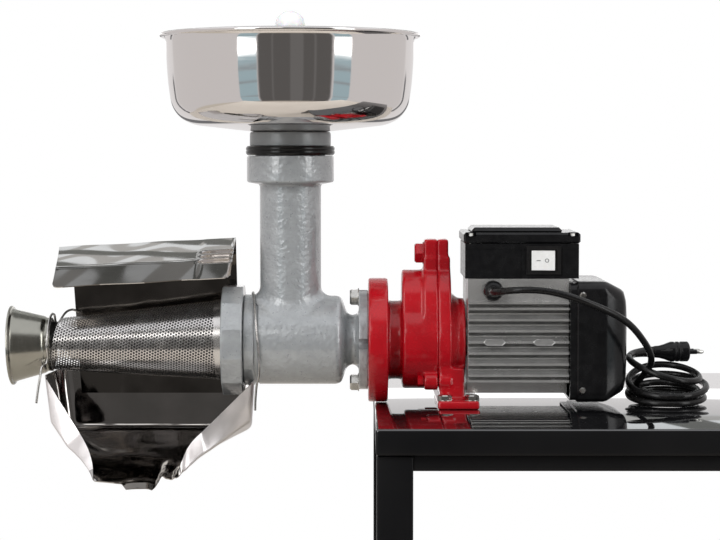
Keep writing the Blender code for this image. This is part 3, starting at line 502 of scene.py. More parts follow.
def studio():
    """A white backdrop for the camera and a bright room with windows for everything that reflects."""
    world = bpy.data.worlds.new("studio")
    bpy.context.scene.world = world
    world.use_nodes = True
    nodes, links = world.node_tree.nodes, world.node_tree.links
    nodes.clear()

    def math_node(kind, a, b=None):
        node = nodes.new("ShaderNodeMath")
        node.operation = kind
        for socket, value in zip(node.inputs, (a, b), strict=False):
            if value is None:
                continue
            if isinstance(value, (int, float)):
                socket.default_value = value
            else:
                links.new(value, socket)
        return node.outputs[0]

    def between(value, low, high, soft):
        """1 between low and high, with soft edges."""
        rise = nodes.new("ShaderNodeMapRange")
        rise.interpolation_type = "SMOOTHSTEP"
        fall = nodes.new("ShaderNodeMapRange")
        fall.interpolation_type = "SMOOTHSTEP"
        for node, (a, b) in ((rise, (low - soft, low + soft)), (fall, (high + soft, high - soft))):
            node.inputs["From Min"].default_value = a
            node.inputs["From Max"].default_value = b
            links.new(value, node.inputs["Value"])
        return math_node("MULTIPLY", rise.outputs["Result"], fall.outputs["Result"])

    def both(one, two):
        """Where two masks meet."""
        return math_node("MULTIPLY", one, two)

    def slanted(across, upwards):
        """Stripes that run aslant over the sky."""
        shift = math_node("ADD", math_node("MULTIPLY", around, across), math_node("MULTIPLY", up, upwards))
        return math_node("SINE", shift)

    def layer(under, colour, strength, mask):
        """A colour laid over what is under it, as far as its mask reaches."""
        mix = nodes.new("ShaderNodeMix")
        mix.data_type = "RGBA"
        if isinstance(under, tuple):
            mix.inputs["A"].default_value = (*under, 1)
        else:
            links.new(under, mix.inputs["A"])
        mix.inputs["B"].default_value = (*(c * strength for c in colour), 1)
        mix.clamp_result = False
        links.new(mask, mix.inputs["Factor"])
        return mix.outputs["Result"]

    coords = nodes.new("ShaderNodeTexCoord")
    split = nodes.new("ShaderNodeSeparateXYZ")
    links.new(coords.outputs["Generated"], split.inputs[0])
    # the azimuth is 0 towards the camera's side (-Y) and grows towards +X, in degrees
    around = math_node("ARCTAN2", split.outputs["X"], math_node("MULTIPLY", split.outputs["Y"], -1.0))
    around = math_node("MULTIPLY", around, 180 / math.pi)
    up = math_node("MULTIPLY", math_node("ARCSINE", split.outputs["Z"]), 180 / math.pi)

    # a pale room with a grey post at each side of the back
    sky = layer((0.8, 0.78, 0.78), (0.93, 0.895, 0.89), 0.72, between(around, -137, 137, 3))
    for low, high in ((-143, -139), (-171, -163), (139, 143), (163, 171)):
        post = both(between(around, low, high, 0.8), between(up, -40, -1, 1))
        sky = layer(sky, (0.3, 0.3, 0.31), 0.6, post)
    # the dark doorway on the camera's side, with paler strips in it and a lamp above
    sky = layer(sky, (1.0, 0.96, 0.93), 0.115, between(around, -28, 41, 1.5))
    for low, high in ((-15, -13.6), (2, 14), (24, 26)):
        sky = layer(sky, (1.0, 0.97, 0.95), 0.16, between(around, low, high, 0.8))
    lamp_box = both(between(around, -34, -5, 2), between(up, 19, 31, 1.5))
    sky = layer(sky, (1.0, 0.99, 0.98), 2.2, lamp_box)
    # two tall windows with blue blinds below them
    for low, high in ((-47, -29), (43, 60)):
        column = between(around, low, high, 0.5)
        sky = layer(sky, (0.5, 0.66, 0.72), 0.75, column)
        sky = layer(sky, (1.0, 1.0, 1.0), 4.0, both(column, between(up, -2.6, 60, 0.8)))
        for sill in (-16, -10, -5):
            bar = both(column, between(up, sill - 0.5, sill + 0.5, 0.2))
            sky = layer(sky, (0.7, 0.8, 0.85), 0.45, bar)
    sky = layer(sky, (0.96, 0.97, 1.0), 1.05, between(up, 42, 95, 6))
    # behind the machine, a white band and above it slanted panes that the hood and the bench mirror
    behind = math_node("SUBTRACT", 1.0, between(around, -150, 150, 3))
    sky = layer(sky, (1.0, 1.0, 1.0), 1.7, both(behind, between(up, 2.5, 7.2, 0.35)))
    falling, rising = slanted(1.15, 0.55), slanted(-0.4, 1.1)
    for low, high, dark, light in ((14, 45, 0.22, 1.05), (45, 76, 0.1, 0.4)):
        zone = both(behind, between(up, low, high, 0.8))
        sky = layer(sky, (0.95, 0.98, 1.0), light, zone)
        bars = both(zone, between(rising, -2.0, -0.1, 0.08))
        sky = layer(sky, (1.0, 0.99, 0.96), (dark + light) / 2.2, bars)
        panes = both(zone, between(falling, -2.0, -0.35, 0.08))
        sky = layer(sky, (0.98, 1.0, 0.95), dark, panes)
    shadow = both(between(around, -35, 45, 6), between(up, -33, -24, 2))
    floor = layer((0.6, 0.55, 0.48), (0.3, 0.27, 0.24), 1.0, shadow)
    mix = nodes.new("ShaderNodeMix")
    mix.data_type = "RGBA"
    mix.clamp_result = False
    links.new(sky, mix.inputs["A"])
    links.new(floor, mix.inputs["B"])
    links.new(between(up, -95, -31, 1.5), mix.inputs["Factor"])

    lit = nodes.new("ShaderNodeBackground")
    links.new(mix.outputs["Result"], lit.inputs["Color"])
    plain = nodes.new("ShaderNodeBackground")
    plain.inputs["Color"].default_value = (1, 1, 1, 1)
    pick = nodes.new("ShaderNodeMixShader")
    path = nodes.new("ShaderNodeLightPath")
    out = nodes.new("ShaderNodeOutputWorld")
    links.new(path.outputs["Is Camera Ray"], pick.inputs["Fac"])
    links.new(lit.outputs[0], pick.inputs[1])
    links.new(plain.outputs[0], pick.inputs[2])
    links.new(pick.outputs[0], out.inputs["Surface"])


def lamp(name, place, aim, size, power):
    """A white rectangle of light that faces a point."""
    data = bpy.data.lights.new(name, "AREA")
    data.shape = "RECTANGLE"
    data.size, data.size_y = size
    data.energy = power
    obj = bpy.data.objects.new(name, data)
    obj.location = place
    obj.rotation_euler = (Vector(aim) - Vector(place)).to_track_quat("-Z", "Y").to_euler()
    bpy.context.scene.collection.objects.link(obj)
    return obj


def stage():
    """A plain bench under the motor's end, and the floor."""
    bench = Paint("bench", "bench_black", (0.006, 0.006, 0.007), 0.05)
    bench.set(Coat_Weight=1.0, Coat_Roughness=0.02, Coat_IOR=1.7, Specular_IOR_Level=0.8)
    bench.vary(6, (0.009, 0.009, 0.01)).bump(300, 0.00001, strength=0.2)
    side = Paint("bench_side", "bench_side", (0.005, 0.005, 0.0055), 0.3)
    side.set(Specular_IOR_Level=0.12)
    side.vary(6, (0.008, 0.008, 0.0085)).bump(300, 0.00002, strength=0.2)
    ground = Paint("ground", "ground_beige", (0.62, 0.57, 0.5), 0.5)
    ground.vary(3, (0.66, 0.61, 0.54)).bump(300, 0.0001, strength=0.2)
    top = block("bench_top", (-0.086, -0.215, -0.026), (0.6, 0.28, -0.0003), "bench", 0.0025, 4)
    top.data.materials.append(LOOKS["bench_side"])
    for face in top.data.polygons:
        face.material_index = 1 if face.normal.z < 0.2 else 0
    apron = block("bench_apron", (-0.08, -0.206, -0.042), (0.59, 0.27, -0.02), "bench_side", 0.0015)
    tables, leg = [top, apron], 0.035
    for x in (-0.085, 0.554):
        for y in (-0.209, 0.233):
            low, high = (x, y, -0.349), (x + leg, y + leg, -0.027)
            tables.append(block("bench_leg", low, high, "bench_side", 0.0015))
    floor = block("floor", (-1.1, -1.0, -0.356), (1.1, 1.0, -0.35), "ground", 0.0)
    key = lamp("key", (-1.1, -2.2, 1.9), (-0.1, 0, 0.1), (1.0, 0.8), 26)
    fill = lamp("fill", (1.5, -1.9, 1.1), (0, 0, 0.1), (0.8, 1.0), 9)
    for light in (key, fill):
        light.visible_glossy = False


# ---------------------------------------------------------------- the mains lead
CORD_R = 0.0035
CORD_LENGTH = 1.5
GLAND = Vector((0.0353, -0.0743, 0.1212))
COIL = Vector((0.219, -0.014, 0.0))
PLUG_HEADING = math.radians(7)
PLUG = Vector((0.2289, 0.022, 0.0506))
SLEEVE_R = 0.0058

FREE_STRETCH = [
    (0.0353, -0.0743, 0.1212), (0.0358, -0.082, 0.1213), (0.0378, -0.0895, 0.1219),
    (0.0414, -0.096, 0.1228), (0.0466, -0.1018, 0.1239), (0.0533, -0.1064, 0.1248),
    (0.0612, -0.1092, 0.1254), (0.07, -0.1102, 0.1254), (0.0894, -0.1106, 0.1238),
    (0.1135, -0.1098, 0.1172), (0.139, -0.105, 0.1074), (0.1598, -0.097, 0.0975),
    (0.1752, -0.087, 0.086), (0.1852, -0.077, 0.0735), (0.194, -0.066, 0.062),
    (0.1985, -0.055, 0.051), (0.199, -0.044, 0.042), (0.1935, -0.029, 0.031),
    (0.1897, -0.011, 0.02), (0.1958, 0.0055, 0.011), (0.2068, 0.0148, 0.0068),
]
TURN_RADII = (0.032, 0.0385, 0.0335, 0.0395, 0.035, 0.035)
TURN_HEIGHTS = (0.0048, 0.0072, 0.014, 0.019, 0.027, 0.031)
TURN_TILTS = (0.0008, 0.003, 0.004, 0.0075, 0.01, 0.009)
TURNS = 5 - 13 / 360


def eased(values, spot):
    """Hold each value for most of a turn and ease into the next one over the rest."""
    k = min(int(spot), len(values) - 2)
    t = max(0.0, (spot - k - 0.55) / 0.45)
    t = t * t * (3 - 2 * t)
    return values[k] * (1 - t) + values[k + 1] * t


def evenly(points, step):
    """Points about a step apart along a route, its two ends kept."""
    total = way_length(points)
    count = round(total / step)
    out, passed = [points[0]], 0.0
    for a, b in zip(points, points[1:], strict=False):
        span = (b - a).length
        while len(out) < count and len(out) * total / count <= passed + span:
            out.append(a.lerp(b, (len(out) * total / count - passed) / span))
        passed += span
    return [*out, points[-1]]


def cord_points(spread):
    """The free stretch from the gland, then clockwise turns that pile up and climb to the plug."""
    points = [Vector(p) for p in FREE_STRETCH]
    count, climb_from = 92, 4.15
    for k in range(count - 1):
        spot = TURNS * k / count
        angle = math.radians(90) - 2 * math.pi * spot
        r = eased(TURN_RADII, spot) * spread
        z = eased(TURN_HEIGHTS, spot) + eased(TURN_TILTS, spot) * math.sin(angle)
        climb = max(0.0, (spot - climb_from) / (TURNS - climb_from))
        climb = climb * climb * (3 - 2 * climb)
        drift = 0.0015 * math.sin(2.4 * spot)
        height = z * (1 - climb) + PLUG.z * climb
        points.append(COIL + Vector((r * math.cos(angle) + drift, r * math.sin(angle), height)))
    heading = Vector((math.cos(PLUG_HEADING), math.sin(PLUG_HEADING), 0))
    tail = PLUG - heading * 0.018
    points = evenly([*points, tail - heading * 0.012, tail + heading * 0.001], 0.0085)
    # each pass pulls the points in and then pushes them out again, so that curves keep their size
    for pull in (0.5, -0.53) * 12:
        trios = zip(points[1:], points[2:], points[3:], strict=False)
        inner = [b + ((a + c) / 2 - b) * pull for a, b, c in trios]
        points = [*points[:2], *inner[:-1], *points[-2:]]
    return points


def way_length(points):
    """The length of the straight runs between points."""
    return sum((b - a).length for a, b in zip(points, points[1:], strict=False))


def lead():
    """The cord, its sleeves at both ends, the gland and the plug."""
    low, high = 0.9, 1.4
    for _ in range(24):
        middle_spread = (low + high) / 2
        if way_length(cord_points(middle_spread)) < CORD_LENGTH * 0.998:
            low = middle_spread
        else:
            high = middle_spread
    points = cord_points(low)
    cord = tube("mains_lead", points, CORD_R, "rubber", sides=5)

    gland = [
        (0.0, -0.043), (0.0061, -0.043), (0.0061, -0.0504), (0.01, -0.0504), (0.0102, -0.052),
        (0.0096, -0.0526), (0.0096, -0.0566), (0.0103, -0.0572), (0.0103, -0.065), (0.0085, -0.069),
        (0.0066, -0.0702), (0.006, -0.0742), (0.0, -0.0742),
    ]
    body = lathe("gland", rounded(gland, 0.0005, 3), "black", (GLAND.x, 0, GLAND.z), "Y", 64)
    nut = prism("gland_nut", polygon((GLAND.x, GLAND.z), 0.0108, 6), -0.0648, -0.0576, "black", "Y", 0.0008)
    sleeve = tube("gland_sleeve", [points[0] + Vector((0, 0.004, 0)), *points[:4]], SLEEVE_R, "rubber")
    taper(sleeve, (1.0, 0.98, 0.86, 0.74, 0.66))
    show(together("gland_set", [body, nut], "black"), "frame", "black_plastic", "cable_gland")
    show(sleeve, "frame", "cord_rubber")

    turned = [
        (0.0, -0.018), (0.0056, -0.018), (0.0062, -0.0172), (0.0066, -0.012), (0.0082, -0.006),
        (0.0098, -0.002), (0.0107, 0.001), (0.0107, 0.004), (0.0101, 0.0046), (0.0101, 0.0058),
        (0.0107, 0.0064), (0.0107, 0.009), (0.0101, 0.0096), (0.0101, 0.0108), (0.0107, 0.0114),
        (0.0107, 0.0188), (0.0095, 0.02), (0.0, 0.02),
    ]
    pieces = [lathe("plug_body", rounded(turned, 0.0006, 3), "black", (0, 0, 0), "X", 64)]
    metal = []
    for side in (-1, 1):
        collar = [(0, 0.019), (0.0024, 0.019), (0.0024, 0.0275), (0.0, 0.0275)]
        pieces.append(lathe("pin_sleeve", collar, "black", (0, side * 0.006, 0), "X", 24))
        pin = [(0, 0.027), (0.002, 0.027), (0.002, 0.0335), (0.0012, 0.035), (0, 0.035)]
        metal.append(lathe("pin", pin, "zinc", (0, side * 0.006, 0), "X", 24))
    plug, pins = together("plug", pieces, "black"), together("plug_pins", metal, "zinc")
    for obj in (plug, pins):
        obj.data.transform(Matrix.Translation(PLUG) @ Matrix.Rotation(PLUG_HEADING, 4, "Z"))
    show(plug, "frame", "cord_rubber", "power_plug")
    show(pins, "frame", "cord_rubber")
    tail = tube("plug_sleeve", points[-6:], SLEEVE_R, "rubber")
    taper(tail, (0.66, 0.7, 0.76, 0.84, 0.94, 1.0))
    show(tail, "frame", "cord_rubber")

    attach(cord, "frame")
    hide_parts("power_cord", "cord_coil")


def taper(curve, radii):
    """Give each point of a tube its share of the tube's radius."""
    for point, r in zip(curve.data.splines[0].bezier_points, radii, strict=True):
        point.radius = r


# ---------------------------------------------------------------- the mill's casting
NECK_R = 0.032
BARREL_R = 0.0467


def casting():
    """The barrel with its flange, the neck that grows out of it, and the collar under the seal."""
    outer = [
        (0.0455, -0.238), (0.0455, -0.2219), (0.048, -0.2219), (0.0476, -0.2112), (0.0452, -0.2106),
        (0.0452, -0.2074), (0.0467, -0.2066), (0.0467, -0.125), (0.0445, -0.1205), (0.0385, -0.1182),
        (0.029, -0.115), (0.0258, -0.1094), (0.0275, -0.1045), (0.031, -0.1023), (0.0523, -0.1023),
        (0.0523, -0.0927), (0.0143, -0.0927), (0.0143, -0.127), (0.038, -0.128), (0.038, -0.238),
    ]
    radii = [0.0008, 0.0006, 0.0012, 0.001, 0.0008, 0.0006, 0.0008, 0.003, 0.0025, 0.003,
             0.003, 0.003, 0.002, 0.0025, 0.0014, 0.001, 0.001, 0.001, 0.001, 0.001]
    barrel = lathe("barrel", rounded(outer, radii), "cast", MILL_AXIS, "X", 128)
    cutters = []
    for k in range(4):
        a = math.radians(90 * k)
        slot = block("slot", (-0.11, 0.039, -0.0055), (-0.09, 0.06, 0.0055), "cast", 0.0)
        slot.data.transform(Matrix.Translation(MILL_AXIS) @ Matrix.Rotation(a, 4, "X"))
        cutters.append(slot)
        end = lathe("slot_end", [(0, -0.11), (0.0055, -0.11), (0.0055, -0.09), (0, -0.09)], "cast",
                    MILL_AXIS + Vector((0, 0.0392 * math.cos(a), 0.0392 * math.sin(a))), "X", 32)
        cutters.append(end)
    barrel = carve(barrel, *cutters)

    wall = [
        (0.0452, 0.2588), (0.0455, 0.2575), (0.0455, 0.233), (0.0444, 0.2313), (0.033, 0.229),
        (0.032, 0.227), (0.032, 0.1), (0.027, 0.09), (0.027, 0.2405), (0.037, 0.2405),
        (0.037, 0.259), (0.0445, 0.2592),
    ]
    radii = [0.0006, 0.001, 0.0022, 0.0018, 0.003, 0.004, 0.0002, 0.0002, 0.0006, 0.0006, 0.0006, 0.0006]
    neck = lathe("neck", rounded(wall, radii), "cast", HOPPER, "Z", 128)

    fillet, steps, around = 0.0105, 12, 128
    shape = bmesh.new()
    loops = []
    for k in range(around):
        phi = 2 * math.pi * k / around
        loop = []
        for i in range(steps + 1):
            t = math.pi / 2 * i / steps
            rho = NECK_R + fillet * (1 - math.sin(t))
            level = math.sqrt(max(BARREL_R**2 - (rho * math.sin(phi)) ** 2, 0.0001))
            loop.append((rho, MILL_Z + level + fillet * (1 - math.cos(t))))
        last = loop[-1]
        loop.append((NECK_R - 0.002, last[1]))
        loop.append((NECK_R - 0.002, loop[0][1] - 0.004))
        loop.append((loop[0][0] - 0.002, loop[0][1] - 0.005))
        loops.append([
            shape.verts.new(HOPPER + Vector((r * math.cos(phi), r * math.sin(phi), z))) for r, z in loop
        ])
    for one, two in zip(loops, loops[1:] + loops[:1], strict=True):
        for i in range(len(one)):
            j = (i + 1) % len(one)
            shape.faces.new((one[i], one[j], two[j], two[i]))
    skirt = build("skirt", shape, "cast", 60)
    sweep = [(0, -0.21), (0.0378, -0.21), (0.0378, -0.115), (0, -0.115)]
    neck, skirt = (carve(obj, lathe("sweep", sweep, "cast", MILL_AXIS, "X", 96)) for obj in (neck, skirt))
    show(together("mill_casting", [barrel, neck, skirt], "cast", 40), "frame", "cast_grey", "mill_body")


def hex_bolt(name, place, axis, across, head, shank_r, shank, look="zinc", washer=0.0):
    """A bolt whose head starts at `place` and rises along -axis; its shank goes along +axis."""
    corner = across / math.sqrt(3)
    shape = bmesh.new()
    sides, rows = 72, []
    chamfer = corner - across / 2
    for level, inner in ((0.0, False), (head * 0.55, False), (head * 0.8, False), (head, True)):
        row = []
        for k in range(sides):
            a = 2 * math.pi * k / sides
            wedge = (a + math.pi / 6) % (math.pi / 3) - math.pi / 6
            r = across / 2 / math.cos(wedge)
            drop_by = max(0.0, r - across / 2) / chamfer
            z = min(level, head - 0.42 * chamfer * drop_by - 0.0002)
            if inner:
                r, z = across / 2 * 0.9, head
            row.append(shape.verts.new((r * math.cos(a), r * math.sin(a), -z)))
        rows.append(row)
    for one, two in zip(rows, rows[1:], strict=False):
        for k in range(sides):
            j = (k + 1) % sides
            shape.faces.new((one[k], one[j], two[j], two[k]))
    shape.faces.new(rows[0])
    shape.faces.new(rows[-1])
    bolt = build(name, shape, look, 24)
    pitch = 0.0011
    thread = [(0, -0.0005), (shank_r, -0.0005)]
    count = int(shank / pitch)
    for k in range(count):
        thread += [(shank_r, (k + 0.25) * pitch), (shank_r * 0.88, (k + 0.75) * pitch)]
    thread += [(shank_r * 0.85, shank), (0, shank)]
    pieces = [bolt, lathe("thread", thread, look, (0, 0, 0), "Z", 32, 20)]
    if washer:
        disc = rounded([(shank_r, 0), (washer, 0), (washer, 0.0012), (shank_r, 0.0012)], 0.0003, 2)
        pieces.append(lathe("washer", disc, look, (0, 0, 0), "Z", 48))
    made = together(name, pieces, look, 24)
    made.data.transform(Matrix.Translation(Vector(place)) @ Vector((0, 0, 1)).rotation_difference(
        Vector(axis)).to_matrix().to_4x4())
    return made


def bolts():
    """The two screws of the mill's flange and the four of the foot."""
    for name in ("top", "bottom"):
        spot = middle(f"flange_bolt_{name}")
        made = hex_bolt(f"flange_screw_{name}", (-0.1032, spot.y, spot.z), (1, 0, 0), 0.016, 0.0085, 0.0048,
                        0.017, washer=0.0095)
        show(made, "frame", "zinc", f"flange_bolt_{name}")
    for k in range(4):
        node = f"foot_bolt_{k + 1}"
        spot = middle(node)
        made = hex_bolt(f"foot_screw_{k + 1}", (spot.x, spot.y, 0.0088), (0, 0, -1), 0.013, 0.0052, 0.0038,
                        0.007, washer=0.0078)
        show(made, "frame", "zinc", node)


# ---------------------------------------------------------------- the screen, its nut and the waste funnel
def lean(obj):
    """Let a piece hang with the cone, its small end lower."""
    return turn(obj, "Y", -CONE_DROOP, CONE_PIVOT)


def ring_nut():
    """The twelve-sided nut: its flats are turned with twelve steps."""
    flat = 1 / math.cos(math.pi / 12)
    outline = [
        (0.0557 * flat, -0.2226), (0.0567 * flat, -0.2236), (0.0567 * flat, -0.2438),
        (0.0555 * flat, -0.245), (0.0, -0.245), (0.0, -0.2226),
    ]
    shape = lathe("nut", outline, "cast", MILL_AXIS, "X", 12, spin=math.pi / 12)
    hollow = [
        (0, -0.221), (0.0466, -0.221), (0.0466, -0.2424), (0.0444, -0.2424), (0.0444, -0.246), (0, -0.246),
    ]
    shape = carve(shape, lathe("hollow", hollow, "cast", MILL_AXIS, "X", 96))
    soft = shape.modifiers.new("soft", "BEVEL")
    soft.width = 0.0009
    soft.segments = 3
    soft.limit_method = "ANGLE"
    soft.angle_limit = math.radians(22)
    show(bake(shape, 30), "ring_nut", "cast_grey", "ring_nut")


CONE_SMALL = (0.0259, -0.434)
CONE_LARGE = (0.0428, -0.24)


def perforated():
    """The cone's sheet: hexagonal cells, each with its hole, rolled round the cone; a near-black copy just
    inside it is painted shade that darkens the holes.
    """
    slope = (CONE_LARGE[0] - CONE_SMALL[0]) / (CONE_LARGE[1] - CONE_SMALL[1])
    slant = math.hypot(1, slope)
    sine = slope / slant
    apex = CONE_SMALL[1] - CONE_SMALL[0] / slope
    sector = 2 * math.pi * sine

    def rolled(u, v):
        """A point of the flat sheet, as its distance from the apex and its place across."""
        reach, angle = math.hypot(u, v), math.atan2(v, u) / sine
        r = reach * sine
        x = apex + reach / slant
        return (x, r * math.cos(angle - math.pi / 2), MILL_Z + r * math.sin(angle - math.pi / 2))

    start, stop = (-0.427 - apex) * slant, (-0.249 - apex) * slant
    pitch, hole = 0.00325, 0.00125
    verts, faces, known = [], [], {}

    def vert(u, v):
        key = (round(u * 2e5), round(v * 2e5))
        if key not in known:
            known[key] = len(verts)
            verts.append(rolled(u, v))
        return known[key]

    row_step = pitch * math.sqrt(3) / 2
    half = sector / 2 - 0.006
    for row in range(int(start / row_step), int(stop / row_step) + 1):
        u = row * row_step
        if not start + pitch < u < stop - pitch:
            continue
        widest = int(u * math.tan(half) / pitch)
        for k in range(-widest, widest + 1):
            v = (k + (row % 2) / 2) * pitch
            if abs(math.atan2(v, u)) > half:
                continue
            rim, inner = [], []
            for c in range(6):
                a = math.radians(60 * c)
                reach = pitch / math.sqrt(3)
                rim.append(vert(u + reach * math.cos(a), v + reach * math.sin(a)))
                inner.append(vert(u + hole * math.cos(a), v + hole * math.sin(a)))
            for c in range(6):
                d = (c + 1) % 6
                faces.append((rim[c], rim[d], inner[d], inner[c]))
    sheets = []
    # the second, sunk sheet is near-black painted shade seen through the holes
    for name, sunk in (("screen", 0.0), ("screen_inside", 0.0006)):
        shrink = 1 - sunk / 0.035
        placed = [(x, y * shrink, MILL_Z + (z - MILL_Z) * shrink) for x, y, z in verts]
        mesh = bpy.data.meshes.new(name)
        mesh.from_pydata(placed, [], faces)
        sheets.append(wrap(name, mesh, "screen_shade" if sunk else "cone", 80))

    def at(x):
        """The cone's radius at a place along it."""
        return CONE_SMALL[0] + (x - CONE_SMALL[1]) * slope

    bands = []
    for x0, x1 in ((-0.434, -0.4245), (-0.2525, -0.2432)):
        ring = [(at(x0) + 0.0003, x0), (at(x1) + 0.0003, x1), (at(x1) - 0.0005, x1), (at(x0) - 0.0005, x0)]
        bands.append(lathe("band", ring, "cone", MILL_AXIS, "X", 96, 60))
    flange = [(0.0424, -0.2432), (0.0455, -0.2414), (0.0455, -0.2404), (0.042, -0.2404)]
    rim = lathe("rim", flange, "cone", MILL_AXIS, "X", 96)
    shape = bmesh.new()
    ends, strips = [], 12
    for x in (-0.43, -0.245):
        r = at(x) + 0.0004
        angles = [math.radians(90 - 12 + 24 * k / strips) for k in range(strips + 1)]
        ends.append([shape.verts.new((x, r * math.cos(a), MILL_Z + r * math.sin(a))) for a in angles])
    for k in range(strips):
        shape.faces.new((ends[0][k], ends[0][k + 1], ends[1][k + 1], ends[1][k]))
    seam = build("seam", shape, "cone", 60)
    thick = seam.modifiers.new("thick", "SOLIDIFY")
    thick.thickness = 0.0006
    outside = [sheets[0], *bands, bake(turn(seam, "X", math.radians(-90), MILL_AXIS), 60)]
    # the rim is clamped flat in the nut, and only the cone below it hangs lower
    hanging = lean(together("hanging_cone", outside, "cone", 60))
    show(together("filter_screen", [hanging, rim], "cone", 60), "frame", "cone_steel", "filter_cone")
    show(lean(sheets[1]), "frame", "cone_steel")

    outer = [
        (0.0281, -0.425), (0.0281, -0.4298), (0.03, -0.4328), (0.0378, -0.463), (0.0402, -0.4676),
        (0.0414, -0.4682), (0.0418, -0.4666), (0.0408, -0.4654), (0.0392, -0.465), (0.0368, -0.4622),
        (0.0292, -0.4322), (0.0272, -0.4292), (0.0272, -0.425),
    ]
    radii = [
        0.0002, 0.001, 0.002, 0.003, 0.0006, 0.0006, 0.0006, 0.0006, 0.001, 0.002, 0.002, 0.001, 0.0002,
    ]
    funnel = lathe("funnel", rounded(outer, radii), "funnel", MILL_AXIS, "X", 128, 40)
    show(lean(funnel), "frame", "funnel_steel", "waste_funnel")


# ---------------------------------------------------------------- the hopper
def hopper():
    """The bowl with its rolled rim, the spout and its seal, and the pusher."""
    wall = [(0.0325, 0.269), (0.0325, 0.2805), (0.036, 0.2838), (0.101, 0.2912), (0.115, 0.2982),
            (0.1238, 0.3105), (0.1271, 0.333), (0.1287, 0.356), (0.1297, 0.3795), (0.1325, 0.3845)]
    inner = [(0.0315, 0.269), (0.0315, 0.2811), (0.0352, 0.2849), (0.1006, 0.2923), (0.1142, 0.299),
             (0.1228, 0.311), (0.1261, 0.3331), (0.1277, 0.356), (0.1287, 0.3797), (0.1318, 0.3855)]
    outline = wall + inner[::-1]
    radii = [0.0, 0.003, 0.003, 0.016, 0.011, 0.012, 0.011, 0.0115, 0.004, 0.0,
             0.0, 0.004, 0.0115, 0.011, 0.012, 0.011, 0.016, 0.003, 0.003, 0.0]
    shell = lathe("bowl_shell", rounded(outline, radii, 8), "bowl", HOPPER, "Z", 192, 40)
    bead = [(0.1335 + 0.0026 * math.cos(a), 0.3842 + 0.0024 * math.sin(a)) for a in
            (2 * math.pi * k / 20 for k in range(20))]
    rim = lathe("bowl_rim", bead, "bowl", HOPPER, "Z", 192, 60)
    show(together("bowl", [shell, rim], "bowl", 40), "hopper", "bowl_steel", "hopper_bowl")

    spout = [
        (0.0424, 0.2842), (0.0424, 0.2693), (0.0366, 0.2693), (0.0366, 0.2415), (0.03, 0.2415),
        (0.03, 0.267), (0.0337, 0.267), (0.0337, 0.279), (0.0362, 0.2836),
    ]
    radii = [0.003, *([0.0008] * 7), 0.0004]
    collar = lathe("spout", rounded(spout, radii, 4), "spout", HOPPER, "Z", 128)
    show(collar, "hopper", "cast_grey", "hopper_spout")
    seal = [
        (0.0369, 0.2692), (0.045, 0.2692), (0.0465, 0.2676), (0.0465, 0.2655), (0.0458, 0.2648),
        (0.0465, 0.2641), (0.0465, 0.2618), (0.045, 0.2597), (0.0369, 0.2597),
    ]
    washer = lathe("seal", rounded(seal, 0.0006, 4), "seal", HOPPER, "Z", 128)
    show(washer, "hopper", "seal_rubber", "hopper_seal")

    dome = [
        (0.0159 * math.cos(a), 0.394 + 0.016 * math.sin(a))
        for a in (math.radians(-56 + 146 * k / 28) for k in range(29))
    ]
    dome[-1] = (0.0, 0.41)
    lower = [(0.011, 0.296), (0.02, 0.2905), (0.039, 0.2905), (0.039, 0.2854), (0.0255, 0.2854),
             (0.0255, 0.122), (0.0235, 0.118), (0.0, 0.118)]
    radii = [0.003, 0.003, 0.0015, 0.0015, 0.001, 0.002, 0.002, 0.0]
    outline = rounded([(0.0094, 0.381), *lower], [0.0, *radii], 4) + dome
    show(lathe("plunger", outline, "knob", HOPPER, "Z", 96, 40), "pusher", "white_plastic", "pusher")


# ---------------------------------------------------------------- tray, hood and wires
TRAY = {
    "back_left": (-0.427, 0.064, 0.0285), "back_right": (-0.216, 0.064, 0.022),
    "front_left": (-0.428, -0.04, 0.032), "front_right": (-0.211, -0.042, 0.026),
    "heel_left": (-0.421, -0.045, -0.016), "heel_right": (-0.2139, -0.035, -0.016),
    "sole_left": (-0.419, 0.06, -0.036), "sole_right": (-0.219, 0.06, -0.036),
    "edge_left": (-0.3896, -0.058, -0.0253), "edge_right": (-0.264, -0.056, -0.025),
    "neck_left": (-0.375, -0.074, -0.046), "neck_right": (-0.279, -0.07, -0.038),
    "hip_left": (-0.403, -0.058, -0.04), "hip_right": (-0.26, -0.06, -0.0465),
    "cheek_left": (-0.379, -0.08, -0.057), "cheek_right": (-0.278, -0.08, -0.059),
    "lip_left": (-0.371, -0.09, -0.0695), "lip_right": (-0.286, -0.09, -0.0665),
    "pan_left": (-0.37, -0.015, -0.056), "pan_right": (-0.275, -0.015, -0.056),
    "spout_left": (-0.342, -0.094, -0.0705), "spout_right": (-0.306, -0.094, -0.0705),
    "tip_left": (-0.337, -0.101, -0.076), "tip_right": (-0.311, -0.101, -0.076),
}
TRAY_SIDES = [
    ("back", "front", "heel", "sole"), ("front", "edge", "hip", "heel"), ("edge", "neck", "cheek", "hip"),
    ("neck", "lip", "cheek"), ("heel", "hip", "pan", "sole"), ("hip", "cheek", "pan"),
    ("cheek", "lip", "spout", "pan"),
]
TRAY_MIDDLE = [("back", "sole"), ("spout", "tip"), ("sole", "pan"), ("pan", "spout")]
DENT_SEED = 1794927547  # without a seed, vector noise is shifted by the clock


def unit(value):
    """A value held between 0 and 1."""
    return min(1.0, max(0.0, value))


def swell(x, centre, width):
    """A smooth hump of height 1."""
    return math.exp(-(((x - centre) / width) ** 2))


